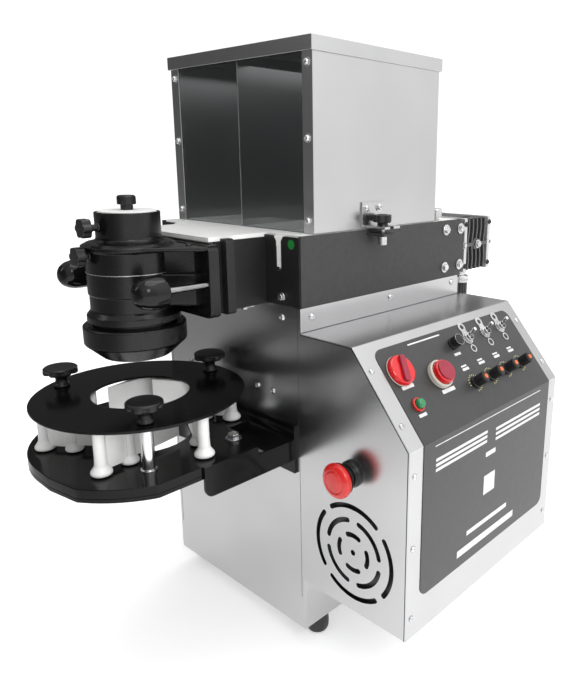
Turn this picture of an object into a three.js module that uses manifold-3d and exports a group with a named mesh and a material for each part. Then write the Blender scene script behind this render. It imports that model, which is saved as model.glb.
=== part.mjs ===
// Table-top forming machine for filled snacks, in millimetres, +Z up.
// Dough and filling fall from a two-chamber hopper into two augers. The augers push them through a
// block to a coaxial forming head, and an iris cutter under the head closes on the filled rope.
//
// Working frame: X = 0 is the column's mid-plane and +X the control side, Y = 0 is the column's
// front face with the forming head towards -Y, and Z = 0 is the underside of the column. The last
// lines move the finished machine so that the origin is the bottom centre of its bounding box.
import * as THREE from "three";
import { mergeVertices } from "three/addons/utils/BufferGeometryUtils.js";
import Module from "manifold-3d";

const wasm = await Module();
wasm.setup();

// ---------------------------------------------------------------- driving dimensions
const GAP = 0.3; // clearance between pieces that rest on each other
const SHEET = 2; // stainless sheet of the column and the hopper

const COLUMN = { half: 139, depth: 318, height: 422 };
const FOOT = { radius: 15, height: 28, inset: 17, setback: 38 };

const HOUSING = { half: 141, plate: 4, depth: 318.5, bottom: 422.3, top: 504 };
const HOPPER = { half: 136.5, front: 25, back: 257, bottom: 504.5, top: 714, post: 17 };
const LID = { half: 139, front: 21.7, back: 260.4, bottom: 701, top: 717, wall: 1.8 };

const AUGER = { x: 48, z: 462, radius: 22, bore: 22.5, shaft: 7, journal: 11, turns: 5 };
const BOLT = { head: 5, washer: 7.8, thickness: 1.6, height: 5.2 };
const BOLT_PLACES = [[279, 491], [315.2, 490.5], [277.5, 437.6], [314.6, 438]];
const NECK = { half: 76, wall: 3, front: -70, bottom: 420, top: 499 };
const FLANGE = { half: 89, front: -62, back: -51, bottom: 417.5, top: 502 };

const HEAD = { y: -126, plateFront: -85, plateBack: -71, plateBottom: 416, plateTop: 497 };
const CLAMP = { x: 83.5, z: 454.5, rod: 4, gripY: -138 };

const RING = { radius: 119, bore: 54.5, bottom: 320, top: 323 };
const BASE = { radius: 124, bottom: 255.5, top: 270, back: 78, tail: 109, tailHalf: 60, hole: 54.5 };
const CAM = { radius: 88, bottom: 260.5 };
const STANDOFF = { radius: 7, pitch: 100, firstDeg: -27 };
const BLADE = { count: 6, pitch: 105, firstDeg: 7, swirlDeg: 30, arm: 34, height: 48, length: 100 };
const SLOT = { inner: 66, outer: 82.5, halfWidth: 5.4, leadDeg: 12.97 };
const DRIVE = { y: 62, sector: 154, pinion: 34, tooth: 4.2, thickness: 9, top: 254.9 };

const BOX = { inner: 139.5, outer: 301, front: -2, back: 324, bottom: 73.5, top: 393.3 };
const PANEL = { slopeX: 220.6, kneeZ: 297.8, sheet: 1.5, overlay: 0.6, screw: 3.6 };
const ESTOP = { x: 221, z: 248, hole: 11.4 };
const VENT = { x: 223, z: 149.5, width: 6, rings: [22, 39.5, 57] };

const MOTOR = { inner: 20, outer: 129, front: 346, back: 418, bottom: 420, top: 502 };

// ---------------------------------------------------------------- materials
const finish = (color, roughness, metalness) =>
  new THREE.MeshStandardMaterial({ color, roughness, metalness });
const STEEL = finish(0xb9babc, 0.32, 0.9);
const CHROME = finish(0xd4d6d8, 0.12, 1);
const BLACK_PAINT = finish(0x2a2b2d, 0.55, 0.2);
const BLACK_METAL = finish(0x141416, 0.4, 0.5);
const BLACK_PLASTIC = finish(0x101012, 0.35, 0);
const NYLON = finish(0xeeeeea, 0.45, 0);
const OVERLAY = finish(0x4b4c4f, 0.5, 0);
const RED = finish(0xc3171b, 0.3, 0);
const GREY = finish(0xc9c6bd, 0.5, 0);
const GREEN = finish(0x12794a, 0.3, 0);
const CLEAR = finish(0xc8d2d4, 0.1, 0);
const RUBBER = finish(0x151515, 0.8, 0);
const CAST = finish(0x8d9092, 0.5, 0.7);
const BOARD = finish(0x1f6b3a, 0.6, 0);

// ---------------------------------------------------------------- solids
// Turns a geometry into a manifold solid, with its faces turned outwards.
function solid(geometry) {
  const bare = geometry.index ? geometry.toNonIndexed() : geometry.clone();
  bare.deleteAttribute("normal");
  bare.deleteAttribute("uv");
  const merged = mergeVertices(bare, 1e-3);
  const position = merged.attributes.position;
  const triangles = [];
  let volume = 0;
  const a = new THREE.Vector3();
  const b = new THREE.Vector3();
  const c = new THREE.Vector3();
  for (let i = 0; i < merged.index.count; i += 3) {
    const corner = [0, 1, 2].map((k) => merged.index.getX(i + k));
    if (new Set(corner).size < 3) continue;
    a.fromBufferAttribute(position, corner[0]);
    b.fromBufferAttribute(position, corner[1]);
    c.fromBufferAttribute(position, corner[2]);
    volume += a.dot(b.cross(c));
    triangles.push(corner);
  }
  const facing = volume < 0 ? triangles.map(([p, q, r]) => [p, r, q]) : triangles;
  return new wasm.Manifold(
    new wasm.Mesh({
      numProp: 3,
      vertProperties: Float32Array.from(position.array),
      triVerts: Uint32Array.from(facing.flat()),
    }),
  );
}

const join = (first, ...rest) => rest.reduce((whole, piece) => whole.add(piece), first);
const cut = (first, ...rest) => rest.reduce((whole, piece) => whole.subtract(piece), first);

// Adds a named mesh of a solid to a group.
function add(parent, name, made, material) {
  const mesh = made.getMesh();
  const geometry = new THREE.BufferGeometry();
  geometry.setAttribute("position", new THREE.BufferAttribute(mesh.vertProperties, 3));
  geometry.setIndex(new THREE.BufferAttribute(mesh.triVerts, 1));
  geometry.computeVertexNormals();
  const node = new THREE.Mesh(geometry, material);
  node.name = name;
  parent.add(node);
  return node;
}

function box(x0, x1, y0, y1, z0, z1) {
  const geometry = new THREE.BoxGeometry(x1 - x0, y1 - y0, z1 - z0);
  return solid(geometry.translate((x0 + x1) / 2, (y0 + y1) / 2, (z0 + z1) / 2));
}

// A box between two faces that mirror each other across X = 0.
const slab = (half, y0, y1, z0, z1) => box(-half, half, y0, y1, z0, z1);

// A round bar along Z.
function pillar(radius, x, y, z0, z1, sides = 20) {
  const geometry = new THREE.CylinderGeometry(radius, radius, z1 - z0, sides);
  return solid(geometry.rotateX(Math.PI / 2).translate(x, y, (z0 + z1) / 2));
}

// A round bar along Y.
function barY(radius, x, z, y0, y1, sides = 16) {
  const geometry = new THREE.CylinderGeometry(radius, radius, y1 - y0, sides);
  return solid(geometry.translate(x, (y0 + y1) / 2, z));
}

// A round bar along X.
function barX(radius, y, z, x0, x1, sides = 8) {
  const geometry = new THREE.CylinderGeometry(radius, radius, x1 - x0, sides);
  return solid(geometry.rotateZ(Math.PI / 2).translate((x0 + x1) / 2, y, z));
}

// A body of revolution about the Z axis. The profile lists [radius, height].
function turned(profile, sides = 20) {
  const points = profile.map(([radius, height]) => new THREE.Vector2(radius, height));
  return solid(new THREE.LatheGeometry(points, sides).rotateX(Math.PI / 2));
}

// The same, about an axis along -Y through (x, z), with heights measured towards -Y from y.
function turnedForward(profile, x, y, z, sides = 20) {
  const points = profile.map(([radius, height]) => new THREE.Vector2(radius, -height));
  return solid(new THREE.LatheGeometry(points, sides).translate(x, y, z));
}

// An outline in X and Y, raised from z0 to z1.
function raised(shape, z0, z1, curveSegments = 2) {
  const options = { depth: z1 - z0, bevelEnabled: false, curveSegments };
  return solid(new THREE.ExtrudeGeometry(shape, options).translate(0, 0, z0));
}

// An outline in X and Z, carried from yFront back to yBack.
function facing(shape, yFront, yBack, curveSegments = 2) {
  const options = { depth: yBack - yFront, bevelEnabled: false, curveSegments };
  const geometry = new THREE.ExtrudeGeometry(shape, options);
  return solid(geometry.rotateX(Math.PI / 2).translate(0, yBack, 0));
}

function polygon(points) {
  return new THREE.Shape(points.map(([u, v]) => new THREE.Vector2(u, v)));
}

function roundedRectangle(u0, u1, v0, v1, radius) {
  const shape = new THREE.Shape();
  shape.moveTo(u0 + radius, v0);
  shape.absarc(u1 - radius, v0 + radius, radius, -Math.PI / 2, 0);
  shape.absarc(u1 - radius, v1 - radius, radius, 0, Math.PI / 2);
  shape.absarc(u0 + radius, v1 - radius, radius, Math.PI / 2, Math.PI);
  shape.absarc(u0 + radius, v0 + radius, radius, Math.PI, Math.PI * 1.5);
  return shape;
}

// A lobed outline, such as a star knob's grip.
function lobed(radius, depth, lobes, steps) {
  const points = [];
  for (let i = 0; i < steps; i += 1) {
    const angle = (i / steps) * 2 * Math.PI;
    const reach = radius - depth * (0.5 - 0.5 * Math.cos(lobes * angle)) ** 2;
    points.push([reach * Math.cos(angle), reach * Math.sin(angle)]);
  }
  return polygon(points);
}

const radians = (degrees) => (degrees * Math.PI) / 180;
const turn = (made, degrees) => made.rotate([0, 0, degrees]);
const move = (made, x, y, z = 0) => made.translate([x, y, z]);
const machine = new THREE.Group();

// ---------------------------------------------------------------- column
function buildColumn() {
  const { half, depth, height } = COLUMN;
  const back = depth - SHEET;
  const wrapper = slab(half, 0, back - GAP, 0, height);
  const inside = slab(half - SHEET, SHEET, depth, -1, height - SHEET);
  const driveSlot = slab(74, -1, SHEET + 1, 243, 257);
  const cableHole = box(half - SHEET - 1, half + 1, 190, 250, 150, 210);
  const frontLip = slab(half - SHEET - 12, back - 14, depth, -2, height + 2);
  const lips = cut(slab(half, back - 14, back - GAP, 0, height), frontLip);
  const augerPass = slab(half - 40, 60, 220, height - SHEET - 1, height + 1);
  const shell = join(cut(wrapper, inside, driveSlot, cableHole, augerPass), lips);
  add(machine, "column_shell", shell, STEEL);

  let cover = slab(half - 0.5, back, depth, 4, height - 4);
  for (let i = 0; i < 6; i += 1) {
    cover = cut(cover, slab(45, back - 1, depth + 1, 210 + i * 16, 216 + i * 16));
  }
  const gland = barY(11, -70, 60, back, depth + 14, 20);
  cover = cut(join(cover, gland), barY(5, -70, 60, back - 1, depth + 15, 16));
  add(machine, "column_back_cover", cover, STEEL);

  let floor = slab(half - SHEET - 0.5, SHEET + 0.5, back - 15, 0, 3);
  for (const x of [-1, 1]) {
    for (const y of [FOOT.setback, depth - FOOT.setback]) {
      const place = x * (half - FOOT.inset);
      floor = join(floor, pillar(FOOT.radius, place, y, -FOOT.height, 1, 16));
    }
  }
  add(machine, "base_plate", floor, RUBBER);
}

// ---------------------------------------------------------------- pump housing and augers
function buildHousing() {
  const { half, plate, depth, bottom, top } = HOUSING;
  for (const [side, name] of [[1, "housing_side_right"], [-1, "housing_side_left"]]) {
    let wall = box(half - plate, half, 0, depth, bottom, top);
    if (side > 0) {
      const tab = box(half - 1, 168, 110, 141, 497, 500);
      wall = cut(join(wall, tab), pillar(3.6, 153, 125.5, 496, 501, 16));
    }
    for (const [y, z] of BOLT_PLACES) {
      const washer = barX(BOLT.washer, y, z, half - 1, half + BOLT.thickness, 12);
      wall = join(wall, washer, barX(BOLT.head, y, z, half, half + BOLT.height, 6));
    }
    add(machine, name, side > 0 ? wall : wall.mirror([1, 0, 0]), BLACK_PAINT);
  }

  const inner = half - plate - GAP;
  const neckTop = NECK.half + NECK.wall;
  const wings = slab(inner, 0, plate, bottom, 502);
  const cheeks = join(slab(neckTop, NECK.front, -GAP, NECK.bottom, NECK.top),
    slab(neckTop, -1, plate, bottom, NECK.top));
  const rim = roundedRectangle(-FLANGE.half, FLANGE.half, FLANGE.bottom, FLANGE.top, 4);
  let front = join(cheeks, wings, facing(rim, FLANGE.front, FLANGE.back, 3));
  front = cut(front, slab(NECK.half + 2.5, NECK.front - 9, plate + 1, NECK.top, top + 1));
  front = cut(front, slab(NECK.half, NECK.front - 1, plate + 1, NECK.bottom + 4, top));
  for (const x of [-103, 103]) {
    const slot = new THREE.Shape();
    slot.moveTo(x - 8.5, 510);
    slot.lineTo(x - 8.5, 502);
    slot.lineTo(x - 4.5, 496.5);
    slot.absarc(x, 466, 4.5, Math.PI, 2 * Math.PI);
    slot.lineTo(x + 4.5, 496.5);
    slot.lineTo(x + 8.5, 502);
    slot.lineTo(x + 8.5, 510);
    front = cut(front, facing(slot, -1, plate + 1));
  }
  add(machine, "front_casting", front, BLACK_PAINT);

  let rear = slab(inner, depth - plate, depth, bottom, top);
  rear = join(rear, slab(half - 8, depth - 1, 338, 424, 500));
  for (const x of [-AUGER.x, AUGER.x]) {
    rear = cut(rear, barY(AUGER.journal + GAP, x, AUGER.z, depth - 9, 340));
  }
  add(machine, "rear_bearing_block", rear, BLACK_PAINT);
}

function buildPumpBlock() {
  const inner = HOUSING.half - HOUSING.plate - GAP;
  const back = HOUSING.depth - HOUSING.plate - GAP;
  const side = NECK.half - GAP;
  const step = 494;
  const beyond = 400;
  const slotX = 103;
  const whole = join(slab(inner, HOUSING.plate + GAP, back, HOUSING.bottom + 2, step - GAP),
    slab(side, NECK.front, HOUSING.plate + 1, NECK.bottom + 4.3, step - GAP));
  for (const sign of [-1, 1]) {
    const x = sign * AUGER.x;
    const other = move(slab(beyond, -beyond, beyond, 0, 2 * beyond), sign * (GAP / 2 - beyond), 0);
    const throat = box(x - AUGER.bore, x + AUGER.bore, 40, 235, AUGER.z, 495);
    const bore = barY(AUGER.bore, x, AUGER.z, NECK.front - 1, 300, 24);
    const journal = barY(AUGER.journal + GAP, x, AUGER.z, 299, 320);
    const name = sign > 0 ? "pump_block_filling" : "pump_block_dough";
    const filler = slab(4.2, 1, HOUSING.plate + 1, 466, step - GAP);
    const tongue = move(filler, sign * slotX, 0);
    add(machine, name, cut(join(whole, tongue), other, throat, bore, journal), NYLON);
  }

  let deck = join(slab(inner, HOUSING.plate + GAP, back, step, HOUSING.top),
    slab(side, NECK.front, HOUSING.plate + 1, step, NECK.top - GAP),
    slab(NECK.half + 2, HEAD.plateBack - 6, HOUSING.plate + 1, NECK.top + GAP, HOUSING.top),
    slab(side, NECK.front, HOUSING.plate + 1, NECK.top - 1, NECK.top + 1));
  for (const sign of [-1, 1]) {
    deck = cut(deck, box(Math.min(sign * 8, sign * 128), Math.max(sign * 8, sign * 128), 31, 250,
      step - 1, HOUSING.top + 1));
  }
  add(machine, "pump_deck", deck, NYLON);
}

// One screw: a section with a single broad flight, twisted along its length.
function buildAuger(name, x, hand) {
  const from = -10;
  const to = 290;
  const steps = AUGER.turns * 8;
  const section = [];
  for (let i = 0; i < 3; i += 1) {
    const angle = radians(-20 + i * 20);
    section.push([AUGER.radius * Math.cos(angle), AUGER.radius * Math.sin(angle)]);
  }
  for (let i = 0; i < 4; i += 1) {
    const angle = radians(60 + i * 80);
    section.push([(AUGER.shaft + 2) * Math.cos(angle), (AUGER.shaft + 2) * Math.sin(angle)]);
  }
  const options = { depth: to - from, steps, bevelEnabled: false };
  const geometry = new THREE.ExtrudeGeometry(polygon(section), options);
  const position = geometry.attributes.position;
  for (let i = 0; i < position.count; i += 1) {
    const step = Math.round((position.getZ(i) / (to - from)) * steps);
    const angle = (hand * step * 2 * Math.PI * AUGER.turns) / steps;
    const u = position.getX(i);
    const v = position.getY(i);
    position.setX(i, u * Math.cos(angle) - v * Math.sin(angle));
    position.setY(i, u * Math.sin(angle) + v * Math.cos(angle));
  }
  const flight = solid(geometry.rotateX(-Math.PI / 2).translate(0, from, 0));
  const journal = barY(AUGER.journal, 0, 0, to - 0.5, MOTOR.front - 8);
  const coupling = barY(13, 0, 0, MOTOR.front - 8 + GAP, MOTOR.front - GAP, 6);
  const stub = barY(8, 0, 0, to, MOTOR.front - 1, 12);
  const screw = join(flight, journal, coupling, stub);
  add(machine, name, move(screw, x, 0, AUGER.z), CHROME);
}

function buildGearmotor(name, side) {
  const { inner, outer, front, back, bottom, top } = MOTOR;
  let body = box(inner, outer, front, back, bottom, top);
  for (let i = 0; i < 7; i += 1) {
    const y = front + 7 + i * 9;
    body = cut(body, box(outer - 9, outer + 1, y, y + 4.5, bottom - 1, top + 1));
  }
  for (const x of [inner + 8, outer - 12]) {
    for (const z of [bottom + 12, top - 12]) {
      body = join(body, barY(5, x, z, 338 + GAP, front + 1, 12));
    }
  }
  const tail = barY(6, (inner + outer) / 2, (bottom + top) / 2, back - 8, back + 12, 12);
  const bend = new THREE.CurvePath();
  bend.add(new THREE.LineCurve3(
    new THREE.Vector3(outer - 14, 357, bottom + 1),
    new THREE.Vector3(outer - 14, 357, bottom - 60),
  ));
  bend.add(new THREE.QuadraticBezierCurve3(
    new THREE.Vector3(outer - 14, 357, bottom - 60),
    new THREE.Vector3(outer - 14, 357, bottom - 95),
    new THREE.Vector3(outer - 14, COLUMN.depth + GAP, bottom - 95),
  ));
  const round = new THREE.Shape().absarc(0, 0, 10, 0, 2 * Math.PI);
  const along = { extrudePath: bend, steps: 9, curveSegments: 4 };
  const conduit = solid(new THREE.ExtrudeGeometry(round, along));
  const nut = pillar(14, outer - 14, 357, bottom - 16, bottom + 1, 6);
  body = join(body, tail, conduit, nut);
  body = cut(body, barY(9, AUGER.x, AUGER.z, front - 1, front + 0.01, 6));
  add(machine, name, side > 0 ? body : body.mirror([1, 0, 0]), CAST);
}

// ---------------------------------------------------------------- hopper
function buildHopper() {
  const { half, front, back, bottom, top, post } = HOPPER;
  const outside = slab(half, front, back, bottom, top);
  const inside = slab(half - SHEET, front + SHEET, back - SHEET, bottom - 1, top + 1);
  const opening = slab(half - post, front - 1, front + SHEET + 1, bottom - 1, top + 1);
  const wall = front + SHEET;
  const divider = slab(0.8, wall + GAP + 3 + GAP, back - SHEET + 0.5, bottom, top - 3);
  add(machine, "hopper_shell", join(cut(outside, inside, opening), divider), STEEL);

  add(machine, "hopper_window",
    slab(half - SHEET - GAP, wall + GAP, wall + GAP + 3, bottom, top), CLEAR);

  const skirt = slab(LID.half, LID.front, LID.back, LID.bottom, LID.top);
  const recess = slab(LID.half - LID.wall, LID.front + LID.wall, LID.back - LID.wall,
    LID.bottom - 1, HOPPER.top + GAP);
  add(machine, "hopper_lid", cut(skirt, recess), STEEL);

  const leg = box(half + GAP, half + 2.3, 104, 145, 508, 537);
  const foot = box(half + GAP, 168, 112, 141, 505.5, 508.5);
  let latch = join(leg, foot);
  latch = cut(latch, box(149, 170, 122, 129, 504, 510));
  add(machine, "hopper_latch", latch, STEEL);

  const grip = raised(lobed(12, 3, 5, 20), 511, 522);
  const stud = pillar(3, 0, 0, 492, 512, 10);
  const washer = pillar(6.5, 0, 0, 508.8, 511, 12);
  add(machine, "latch_knob", move(join(grip, stud, washer), 153, 125.5), BLACK_PLASTIC);
}

// ---------------------------------------------------------------- forming head
function buildHead() {
  const centred = (made) => move(made, 0, HEAD.y);
  const barrel = turned([
    [0, 395.5], [45, 395.5], [45, 412], [50.5, 412], [50.5, 419], [46, 424.5], [46, 442],
    [47.3, 442.5], [47.3, 490.5], [51, 491.5], [51, 495.5], [45, 499.5], [34.5, 502],
    [34.5, 531], [0, 531],
  ], 24);
  const armTop = polygon([[-87, 42], [87, 42], [87, 30], [50, 4], [-50, 4], [-87, 30]]);
  const armUnder = polygon([[-66, 42], [66, 42], [66, 38], [42, 12], [-42, 12], [-66, 38]]);
  const arm = polygon([[-72, 42], [72, 42], [72, 34], [45, 7], [-45, 7], [-72, 34]]);
  const plateShape = roundedRectangle(
    -FLANGE.half, FLANGE.half, HEAD.plateBottom, HEAD.plateTop, 8);
  const plate = facing(plateShape, HEAD.plateFront, HEAD.plateBack, 2);
  let body = join(centred(barrel), centred(raised(armTop, 491.4, 496)),
    centred(raised(armUnder, 465, 492)), centred(raised(arm, 430, 466.5)), plate);
  const chamber = centred(turned([[0, 390], [38, 390], [38, 472], [16, 484], [0, 484]], 20));
  const shaft = centred(pillar(16, 0, 0, 480, 512));
  const counterbore = centred(turned([
    [0, 508], [28.2, 508], [28.2, 528], [32, 528], [32, 535], [0, 535],
  ], 20));
  body = cut(body, chamber, shaft, counterbore);
  for (const x of [-1, 1]) {
    const channel = new THREE.LineCurve3(
      new THREE.Vector3(x * AUGER.x, HEAD.plateBack + 10, AUGER.z),
      new THREE.Vector3(x * 14, HEAD.y + 16, AUGER.z - 6),
    );
    const round = new THREE.Shape().absarc(0, 0, 17, 0, 2 * Math.PI);
    const along = { extrudePath: channel, steps: 1, curveSegments: 5 };
    const mouth = barY(19, x * AUGER.x, AUGER.z, HEAD.plateFront + 3, HEAD.plateBack + 1);
    const rodHole = barY(CLAMP.rod + GAP, x * CLAMP.x, CLAMP.z, HEAD.plateFront - 1,
      HEAD.plateBack - 2, 16);
    body = cut(body, solid(new THREE.ExtrudeGeometry(round, along)), mouth, rodHole);
  }
  for (const [z, radius] of [[515.5, 34], [486.5, 47]]) {
    body = cut(body, barY(3.3, 0, z, HEAD.y - radius - 12, HEAD.y - radius + 12, 10));
  }
  add(machine, "head_body", body, BLACK_METAL);

  const tube = turned([
    [0, 371], [15.5, 371], [15.5, 508.5], [27.5, 508.5], [27.5, 519], [0, 519],
  ]);
  const tubeBore = join(pillar(13, 0, 0, 350, 520), barY(9, 0, AUGER.z - 6, 4, 40, 16));
  add(machine, "filling_tube", centred(cut(tube, tubeBore)), CHROME);

  const nut = turned([
    [45.5, 407.5], [54.5, 407.5], [56, 406], [56, 387], [36.3, 369.5], [26, 369.5],
    [26, 373], [40, 394], [45.5, 394.5], [45.5, 407.5],
  ], 24);
  add(machine, "nozzle_nut", centred(nut), BLACK_METAL);

  const cap = turned([
    [0, 519.5], [27.3, 519.5], [27.3, 528.5], [31.3, 528.5], [31.3, 532.5], [6, 532.5],
    [6, 538], [10, 539], [10, 547], [0, 548.5],
  ], 16);
  add(machine, "head_cap", centred(cap), NYLON);

  for (const [name, z, radius, reach] of [
    ["thumb_screw_upper", 515.5, 34.5, 10], ["thumb_screw_lower", 486.5, 47.3, 6]]) {
    const knob = facing(lobed(10.8, 1.8, 6, 24), -reach - 10.5, -reach);
    const neck = barY(3.6, 0, 0, -reach - 1, -1.5, 10);
    const stem = barY(3, 0, 0, -3, 6, 10);
    const screw = join(knob, neck, stem);
    add(machine, name, move(screw, 0, HEAD.y - radius, z), BLACK_PLASTIC);
  }

  for (const [name, x] of [["clamp_lever_right", CLAMP.x], ["clamp_lever_left", -CLAMP.x]]) {
    const reach = HEAD.plateBack - 4 - CLAMP.gripY;
    const lever = turnedForward([
      [0, 0], [CLAMP.rod, 0], [CLAMP.rod, reach], [16, reach], [17.2, reach + 1.5],
      [17.2, reach + 11], [15, reach + 21.5], [9.5, reach + 30], [0, reach + 34],
    ], x, HEAD.plateBack - 4, CLAMP.z, 16);
    add(machine, name, lever, BLACK_PLASTIC);
  }
}

// ---------------------------------------------------------------- iris cutter
// A point at a distance and an angle round the cutter's axis.
function polar(radius, degrees) {
  return [radius * Math.cos(radians(degrees)), radius * Math.sin(radians(degrees))];
}

function buildCutterFrame() {
  const side = 128.3;
  const step = BASE.back - 10 + HEAD.y;
  let bracket = slab(side, -3.6, -0.3, 216, 277);
  for (const x of [-1, 1]) {
    const inner = Math.min(x * side, x * (side - 3));
    const wing = join(box(inner, inner + 3, -130, -3, 234, 260),
      box(inner, inner + 3, -130, step, 259, BASE.top));
    bracket = join(bracket, wing);
  }
  bracket = join(bracket, slab(side - 1, BASE.back + HEAD.y + GAP, -3, 257, 260));
  bracket = cut(bracket, slab(74, -60, 1, 243, 257.5),
    slab(BASE.tailHalf + GAP, -60, BASE.tail + HEAD.y + GAP, 250, 262));
  add(machine, "cutter_bracket", bracket, BLACK_METAL);

  const right = side - 3 - GAP;
  const swell = 137;
  const outline = new THREE.Shape();
  outline.moveTo(0, -BASE.radius);
  outline.lineTo(30, -BASE.radius);
  outline.absarc(0, 0, swell, radians(-58), -Math.acos(right / swell));
  outline.absarc(right - 20, BASE.back - 20, 20, 0, Math.PI / 2);
  outline.lineTo(BASE.tailHalf, BASE.back);
  outline.lineTo(BASE.tailHalf, BASE.tail);
  outline.lineTo(-BASE.tailHalf, BASE.tail);
  outline.lineTo(-BASE.tailHalf, BASE.back);
  outline.absarc(20 - right, BASE.back - 20, 20, Math.PI / 2, Math.PI);
  outline.lineTo(-right, 0);
  outline.absarc(0, 0, BASE.radius, Math.PI, 1.5 * Math.PI);
  let plate = raised(outline, BASE.bottom, BASE.top, 5);
  plate = cut(plate, pillar(CAM.radius + 0.5, 0, 0, CAM.bottom - GAP, BASE.top + 1, 36));
  plate = cut(plate, pillar(70, 0, 0, BASE.bottom - 1, CAM.bottom, 32));
  for (let i = 0; i < 3; i += 1) {
    const [x, y] = polar(STANDOFF.pitch, STANDOFF.firstDeg + i * 120);
    plate = join(plate, pillar(STANDOFF.radius, x, y, BASE.top - 2, RING.bottom - GAP, 12));
  }
  for (let i = 0; i < BLADE.count; i += 1) {
    const [x, y] = polar(BLADE.pitch, BLADE.firstDeg + i * 60);
    plate = cut(plate, pillar(4.4, x, y, BASE.top - 6, BASE.top + 1, 12));
  }
  add(machine, "cutter_base", move(plate, 0, HEAD.y), BLACK_METAL);

  let ring = cut(pillar(RING.radius, 0, 0, RING.bottom, RING.top, 40),
    pillar(RING.bore, 0, 0, RING.bottom - 1, RING.top + 1, 24));
  for (let i = 0; i < 3; i += 1) {
    const [x, y] = polar(STANDOFF.pitch, STANDOFF.firstDeg + i * 120);
    ring = cut(ring, pillar(4.4, x, y, RING.bottom - 1, RING.top + 1, 8));
  }
  add(machine, "cutter_ring", move(ring, 0, HEAD.y), BLACK_METAL);

  for (let i = 0; i < 3; i += 1) {
    const [x, y] = polar(STANDOFF.pitch, STANDOFF.firstDeg + i * 120);
    const grip = raised(lobed(19.5, 3.2, 7, 28), 16, 25);
    const hub = turned([
      [0, -2.4], [3.7, -2.4], [3.7, GAP], [9, GAP], [7.5, 16.5], [0, 16.5],
    ], 10);
    add(machine, `ring_knob_${i + 1}`, move(join(grip, hub), x, HEAD.y + y, RING.top), BLACK_PLASTIC);
  }
}

// The cam disc turns in the base plate. Its slots drive the blades' inner posts, and a toothed
// sector under it reaches back into the column to the cutter motor's pinion.
function buildCutterDrive() {
  const reach = DRIVE.y - HEAD.y;
  const sectorTeeth = Math.round((2 * Math.PI * DRIVE.sector) / (DRIVE.tooth * Math.PI));
  const pinionTeeth = Math.round((2 * Math.PI * DRIVE.pinion) / (DRIVE.tooth * Math.PI));

  // One gear outline with its first tooth centred on the given angle.
  function toothed(radius, teeth, first) {
    const points = [];
    for (let i = 0; i < teeth; i += 1) {
      const centre = first + (i * 2 * Math.PI) / teeth;
      const pitch = (2 * Math.PI) / teeth;
      const tip = radius + DRIVE.tooth * 0.72;
      const root = radius - DRIVE.tooth * 1.05;
      for (const [reachOut, part] of [[root, -0.3], [tip, -0.1], [tip, 0.1], [root, 0.3]]) {
        const angle = centre + part * pitch;
        points.push([reachOut * Math.cos(angle), reachOut * Math.sin(angle)]);
      }
    }
    return polygon(points);
  }

  let cam = pillar(CAM.radius, 0, 0, CAM.bottom, BASE.top - GAP, 36);
  cam = join(cam, pillar(69, 0, 0, DRIVE.top - DRIVE.thickness, CAM.bottom + 1, 32));
  const bottom = DRIVE.top - DRIVE.thickness;
  const wheel = raised(toothed(DRIVE.sector, sectorTeeth, Math.PI / 2), bottom, DRIVE.top);
  const sector = polygon([[-14, 0], [14, 0], [46, 165], [-46, 165]]);
  const wedge = raised(sector, bottom - 1, DRIVE.top + 1);
  cam = join(cam, wheel.intersect(wedge));
  cam = cut(cam, pillar(BASE.hole, 0, 0, bottom - 1, BASE.top + 1, 28));
  for (let i = 0; i < BLADE.count; i += 1) {
    const outline = roundedRectangle(
      SLOT.inner, SLOT.outer, -SLOT.halfWidth, SLOT.halfWidth, SLOT.halfWidth - 0.4);
    const cutter = raised(outline, CAM.bottom - 1, BASE.top + 1, 1);
    cam = cut(cam, turn(cutter, BLADE.firstDeg + i * 60 + SLOT.leadDeg));
  }
  add(machine, "cam_disc", move(cam, 0, HEAD.y), BLACK_METAL);

  const pinionShape = toothed(DRIVE.pinion, pinionTeeth, -Math.PI / 2 + Math.PI / pinionTeeth);
  const pinion = cut(raised(pinionShape, bottom, DRIVE.top),
    pillar(6.3, 0, 0, bottom - 1, DRIVE.top + 1, 20));
  const offset = DRIVE.sector + DRIVE.pinion - reach;
  add(machine, "cutter_pinion", move(pinion, 0, DRIVE.y + offset), CHROME);

  const y = DRIVE.y + offset;
  const shelf = slab(60, SHEET + 1, y + 50, bottom - 9, bottom - 4);
  const can = pillar(38, 0, y, bottom - 110, bottom - 8, 28);
  const shaft = pillar(6, 0, y, bottom - 10, DRIVE.top + 2, 20);
  add(machine, "cutter_motor", join(shelf, can, shaft), CAST);
}

function buildBlades() {
  const foot = BASE.top + 1.7;
  const top = foot + BLADE.height - 1;
  for (let i = 0; i < BLADE.count; i += 1) {
    const group = new THREE.Group();
    const angle = BLADE.firstDeg + i * 60;
    const [x, y] = polar(BLADE.pitch, angle);
    group.position.set(x, HEAD.y + y, 0);
    group.rotation.z = radians(angle + 180 - BLADE.swirlDeg);
    machine.add(group);
    const outer = turned([
      [0, foot - 6], [4, foot - 6], [4, foot - 0.7], [11, foot - 0.7], [11, foot + 3],
      [6.5, foot + 9], [5.5, top], [0, top],
    ], 10);
    const inner = turned([
      [0, foot - 7], [4, foot - 7], [4, foot - 0.7], [10, foot - 0.7], [10, foot + 3],
      [6, foot + 8], [6, top], [0, top],
    ], 10);
    const web = box(0, BLADE.arm, -3, 3, foot + 3, top);
    const petal = polygon([
      [BLADE.arm - 6, -4], [BLADE.length * 0.72, -2.6], [BLADE.length, -0.2],
      [BLADE.length, 0.4], [BLADE.length * 0.72, 4], [BLADE.arm - 6, 5],
    ]);
    const wall = raised(petal, foot + 6, top);
    const blade = join(outer, move(inner, BLADE.arm, 0), web, wall);
    add(group, `iris_blade_${i + 1}`, blade, NYLON);
  }
}

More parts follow.
